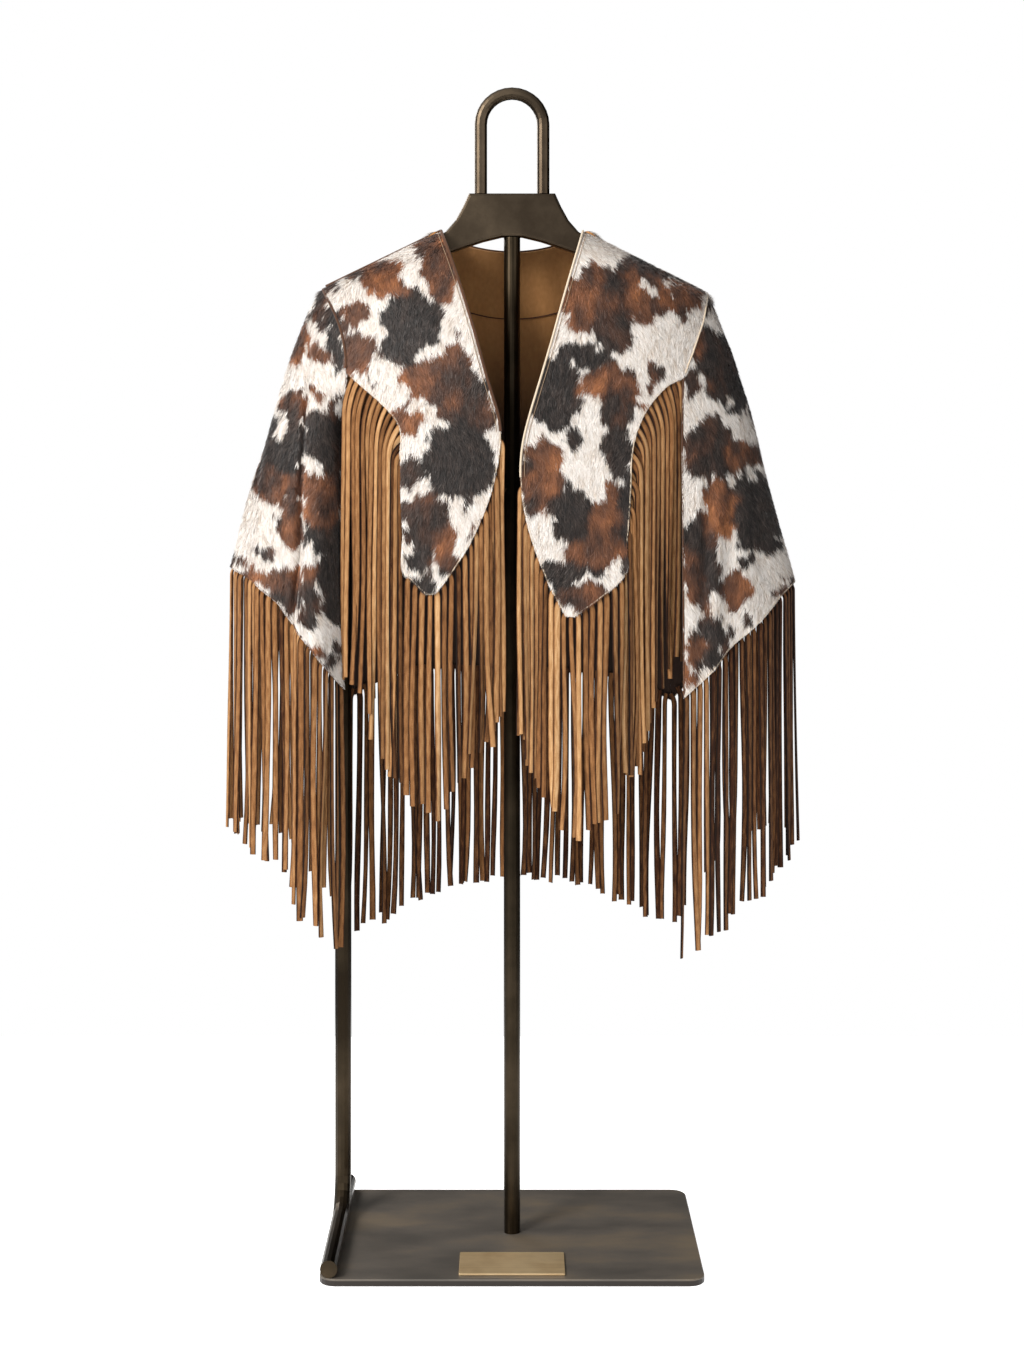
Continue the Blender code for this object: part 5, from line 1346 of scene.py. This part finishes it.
# ---------------------------------------------------------------- operators
class CAPE_OT_stage(bpy.types.Operator):
    """Camera, floor, surround and lights"""

    bl_idname = "cape.stage"
    bl_label = "Stage"

    def execute(self, context):
        look = context.scene.cape_studio
        camera = bpy.data.cameras.new("view")
        camera.lens, camera.sensor_width = CAMERA_LENS, 36.0
        camera.shift_y = CAMERA_SHIFT
        camera.clip_end = 60.0
        eye = bpy.data.objects.new("view", camera)
        eye.location = CAMERA_PLACE
        eye.rotation_euler = (math.pi / 2, 0.0, 0.0)
        context.scene.collection.objects.link(eye)
        context.scene.camera = eye
        context.scene.view_settings.view_transform = "Standard"
        self.lay_floor()
        world = bpy.data.worlds.new("surround")
        context.scene.world = world
        sky = Tree(world, "Background")
        way = sky.node("ShaderNodeTexCoord")
        toward = sky.node("ShaderNodeVectorMath", {"operation": "DOT_PRODUCT"},
                          {0: way, 1: BRIGHT_WAY}, output=1)
        lit = toward * (look.surround * SKY_SLOPE) + look.surround * SKY_LEVEL
        seen = lit.math("MAXIMUM", sky.node("ShaderNodeLightPath"))
        sky.surface(Color=(1.0, 1.0, 1.0, 1.0), Strength=seen)
        lights = (("key_left", look.key, 1.0, (-1.9, -2.3, 2.2), (0.0, 0.0, 0.8)),
                  ("fill_right", look.fill, 1.6, (2.2, -1.8, 1.2), (0.0, 0.0, 0.8)),
                  ("back_left", look.fill * 1.6, 1.2, (-1.6, 2.2, 1.8), (0.0, 0.0, 0.9)))
        for name, power, size, place, aim in lights:
            self.add_light(context, name, power, size, place, aim)
        return {"FINISHED"}

    def lay_floor(self):
        corners = [(x * FLOOR_HALF, y * FLOOR_HALF, 0.0)
                   for x, y in ((-1, -1), (1, -1), (1, 1), (-1, 1))]
        mesh = bpy.data.meshes.new("floor")
        mesh.from_pydata(corners, [], [(0, 1, 2, 3)])
        floor = bpy.data.objects.new("floor", mesh)
        floor.data.materials.append(material("pale_floor"))
        bpy.context.scene.collection.objects.link(floor)

    def add_light(self, context, name, power, size, place, aim):
        lamp = bpy.data.lights.new(name, "AREA")
        lamp.energy, lamp.size, lamp.color = power, size, WARM_LIGHT
        thing = bpy.data.objects.new(name, lamp)
        context.scene.collection.objects.link(thing)
        gap = np.subtract(place, aim)
        thing.location = place
        thing.rotation_euler = (math.atan2(math.hypot(gap[0], gap[1]), gap[2]), 0.0,
                                math.atan2(gap[1], gap[0]) + math.pi / 2)


class CAPE_OT_stand(bpy.types.Operator):
    """Bronze and brass finishes of the stand"""

    bl_idname = "cape.stand"
    bl_label = "Stand finishes"

    def execute(self, context):
        for node, finish in STAND_MATERIALS.items():
            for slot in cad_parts[node].material_slots:
                slot.material = material(finish)
        return {"FINISHED"}


class CAPE_OT_back(bpy.types.Operator):
    """Back panel with its hair, neck facing and fringe"""

    bl_idname = "cape.back"
    bl_label = "Back"

    def execute(self, context):
        coarse = back_surface()
        outer = refined(coarse)
        into = inward(outer, "back")
        inside, tone = patch_fields(*seen_at(outer), PATCHES_BACK)
        outer, into = folded(outer, into, *BACK_FOLDS, 0.0)
        wall, tufts = hide_panel("back_hide", "back_panel", outer, into, inside,
                                 tone, SEEDS["back_hide"])
        at_neck = np.abs(coarse[0, :, 0]) < FACING_SHARE * NECK_X
        near = refined(coarse[:FACING_ROWS, at_neck])
        direction = inward(near, "back")
        near = near + direction * (CLOTH + SEAM)
        facing = panel("neck_facing", near, direction, FACING, ("flesh_side_suede",) * 2)
        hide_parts("back_neck_facing")
        kept = (outer[-1, :, 0] > BACK_FRINGE[0]) & (outer[-1, :, 0] < BACK_FRINGE[1])
        hem = joined(run_of(outer, into, "hem", kept))
        strip = strands("back_fringe", hem, context.scene.cape_fringe,
                        lambda share, x: look_up(TIPS_BACK, x), SEEDS["back_fringe"],
                        dark=lambda share: BACK_SHADOW)
        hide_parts("fringe_back")
        neck = np.abs(outer[0, :, 0]) < NECK_X
        edges = piping("back_edges", [run_of(outer, into, "top", neck)], *BACK_EDGE)
        seam = piping("facing_seam", [run_of(near, direction, "hem")], *FACING_SEAM)
        return {"FINISHED"}


class CAPE_OT_fronts(bpy.types.Operator):
    """Both fronts with their hair and fringe"""

    bl_idname = "cape.fronts"
    bl_label = "Fronts"

    def execute(self, context):
        fringe = context.scene.cape_fringe
        for side, word in SIDES.items():
            outer = refined(front_surface(side))
            into = inward(outer, "front")
            inside, tone = patch_fields(*seen_at(outer), PATCHES_FRONT[side])
            wall, tufts = hide_panel("front_hide_" + word, "front_" + word, outer,
                                     into, inside, tone, SEEDS["front_hide"] + side)
            point_run, curve_run, neckline, ridge_run = edges_of_front(side, outer, into)
            point = strands("point_fringe_" + word, point_run, fringe,
                            lambda share, x: look_up(TIPS_FRONT[side], x),
                            SEEDS["point_fringe"] + side)
            curve = strands("underarm_fringe_" + word, curve_run, fringe,
                            lambda share, x: look_up(TIPS_ARMHOLE[side], x),
                            SEEDS["underarm_fringe"] + side, close=UNDERARM_CLOSE,
                            droop=UNDERARM_DROOP, bend=UNDERARM_BEND,
                            nest=UNDERARM_NEST[side], reach=UNDERARM_REACH)
            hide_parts("fringe_front_" + word)
            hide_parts("fringe_armhole_" + word)
            runs = [neckline, ridge_run] if side == LEFT else [neckline]
            rolled = piping("rolled_edge_" + word, runs, *ROLLED_EDGE[side])
            stitched = piping("stitch_line_" + word, [neckline], *STITCH_LINE)
            piped = piping("hem_piping_" + word, [point_run, curve_run], *HEM_PIPING)
        return {"FINISHED"}


class CAPE_OT_sleeves(bpy.types.Operator):
    """Both sleeves with their hair and fringe"""

    bl_idname = "cape.sleeves"
    bl_label = "Sleeves"

    def execute(self, context):
        for side, word in SIDES.items():
            outer = refined(sleeve_surface(side))
            into = both_inward(outer)
            inside, tone = sleeve_patch_fields(side, outer)
            kept_long = None
            if side == LEFT:
                outer, kept_long = creased(outer), hair_in_crease
            outer, into = folded(outer, into, *SLEEVE_FOLDS, side)
            wall, tufts = hide_panel("sleeve_hide_" + word, "sleeve_" + word, outer,
                                     into, inside, tone, SEEDS["sleeve_hide"] + side,
                                     kept_long)
            hem = joined(run_of(outer, into, "hem"))
            strip = strands("sleeve_fringe_" + word, hem, context.scene.cape_fringe,
                            lambda share, x: look_up(TIPS_SLEEVE[side], share),
                            SEEDS["sleeve_fringe"] + side,
                            dark=lambda share: SLEEVE_SHADOW[side]
                            * np.clip(share / SHADOW_FULL, 0, 1))
            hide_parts("fringe_sleeve_" + word)
            free = np.flatnonzero(outer[:, 0, 2] < armhole_end(side))[0]
            loose = run_of(outer, into, "first", slice(free, None))
            sewn = run_of(outer, into, "first", slice(0, free))
            piped = piping("hem_piping_sleeve_" + word, [hem], *SLEEVE_PIPING[side])
            rolled = piping("free_edge_" + word, [loose], *FREE_EDGE)
            armhole = piping("armhole_seam_" + word, [sewn], *ARMHOLE_SEAM[side])
        return {"FINISHED"}


class CAPE_PT_panel(bpy.types.Panel):
    """Lists the cape's operators and settings"""

    bl_label = "Cape"
    bl_space_type = "VIEW_3D"
    bl_region_type = "UI"
    bl_category = "Cape"

    def draw(self, context):
        for step in STEPS:
            self.layout.operator(step.bl_idname)
        for name, group in GROUPS:
            for key in group.__annotations__:
                self.layout.prop(getattr(context.scene, name), key)


STEPS = (CAPE_OT_stage, CAPE_OT_stand, CAPE_OT_back, CAPE_OT_fronts, CAPE_OT_sleeves)
GROUPS = (("cape_hide", HideLook), ("cape_fringe", FringeLook), ("cape_studio", StudioLook))


def register():
    for name, group in GROUPS:
        bpy.utils.register_class(group)
        setattr(bpy.types.Scene, name, bpy.props.PointerProperty(type=group))
    for part in STEPS + (CAPE_PT_panel,):
        bpy.utils.register_class(part)


def unregister():
    for part in reversed(STEPS + (CAPE_PT_panel,)):
        bpy.utils.unregister_class(part)
    for name, group in GROUPS:
        delattr(bpy.types.Scene, name)
        bpy.utils.unregister_class(group)


def main():
    register()
    for step in STEPS:
        group, call = step.bl_idname.split(".")
        getattr(getattr(bpy.ops, group), call)()


if __name__ == "__main__":
    main()
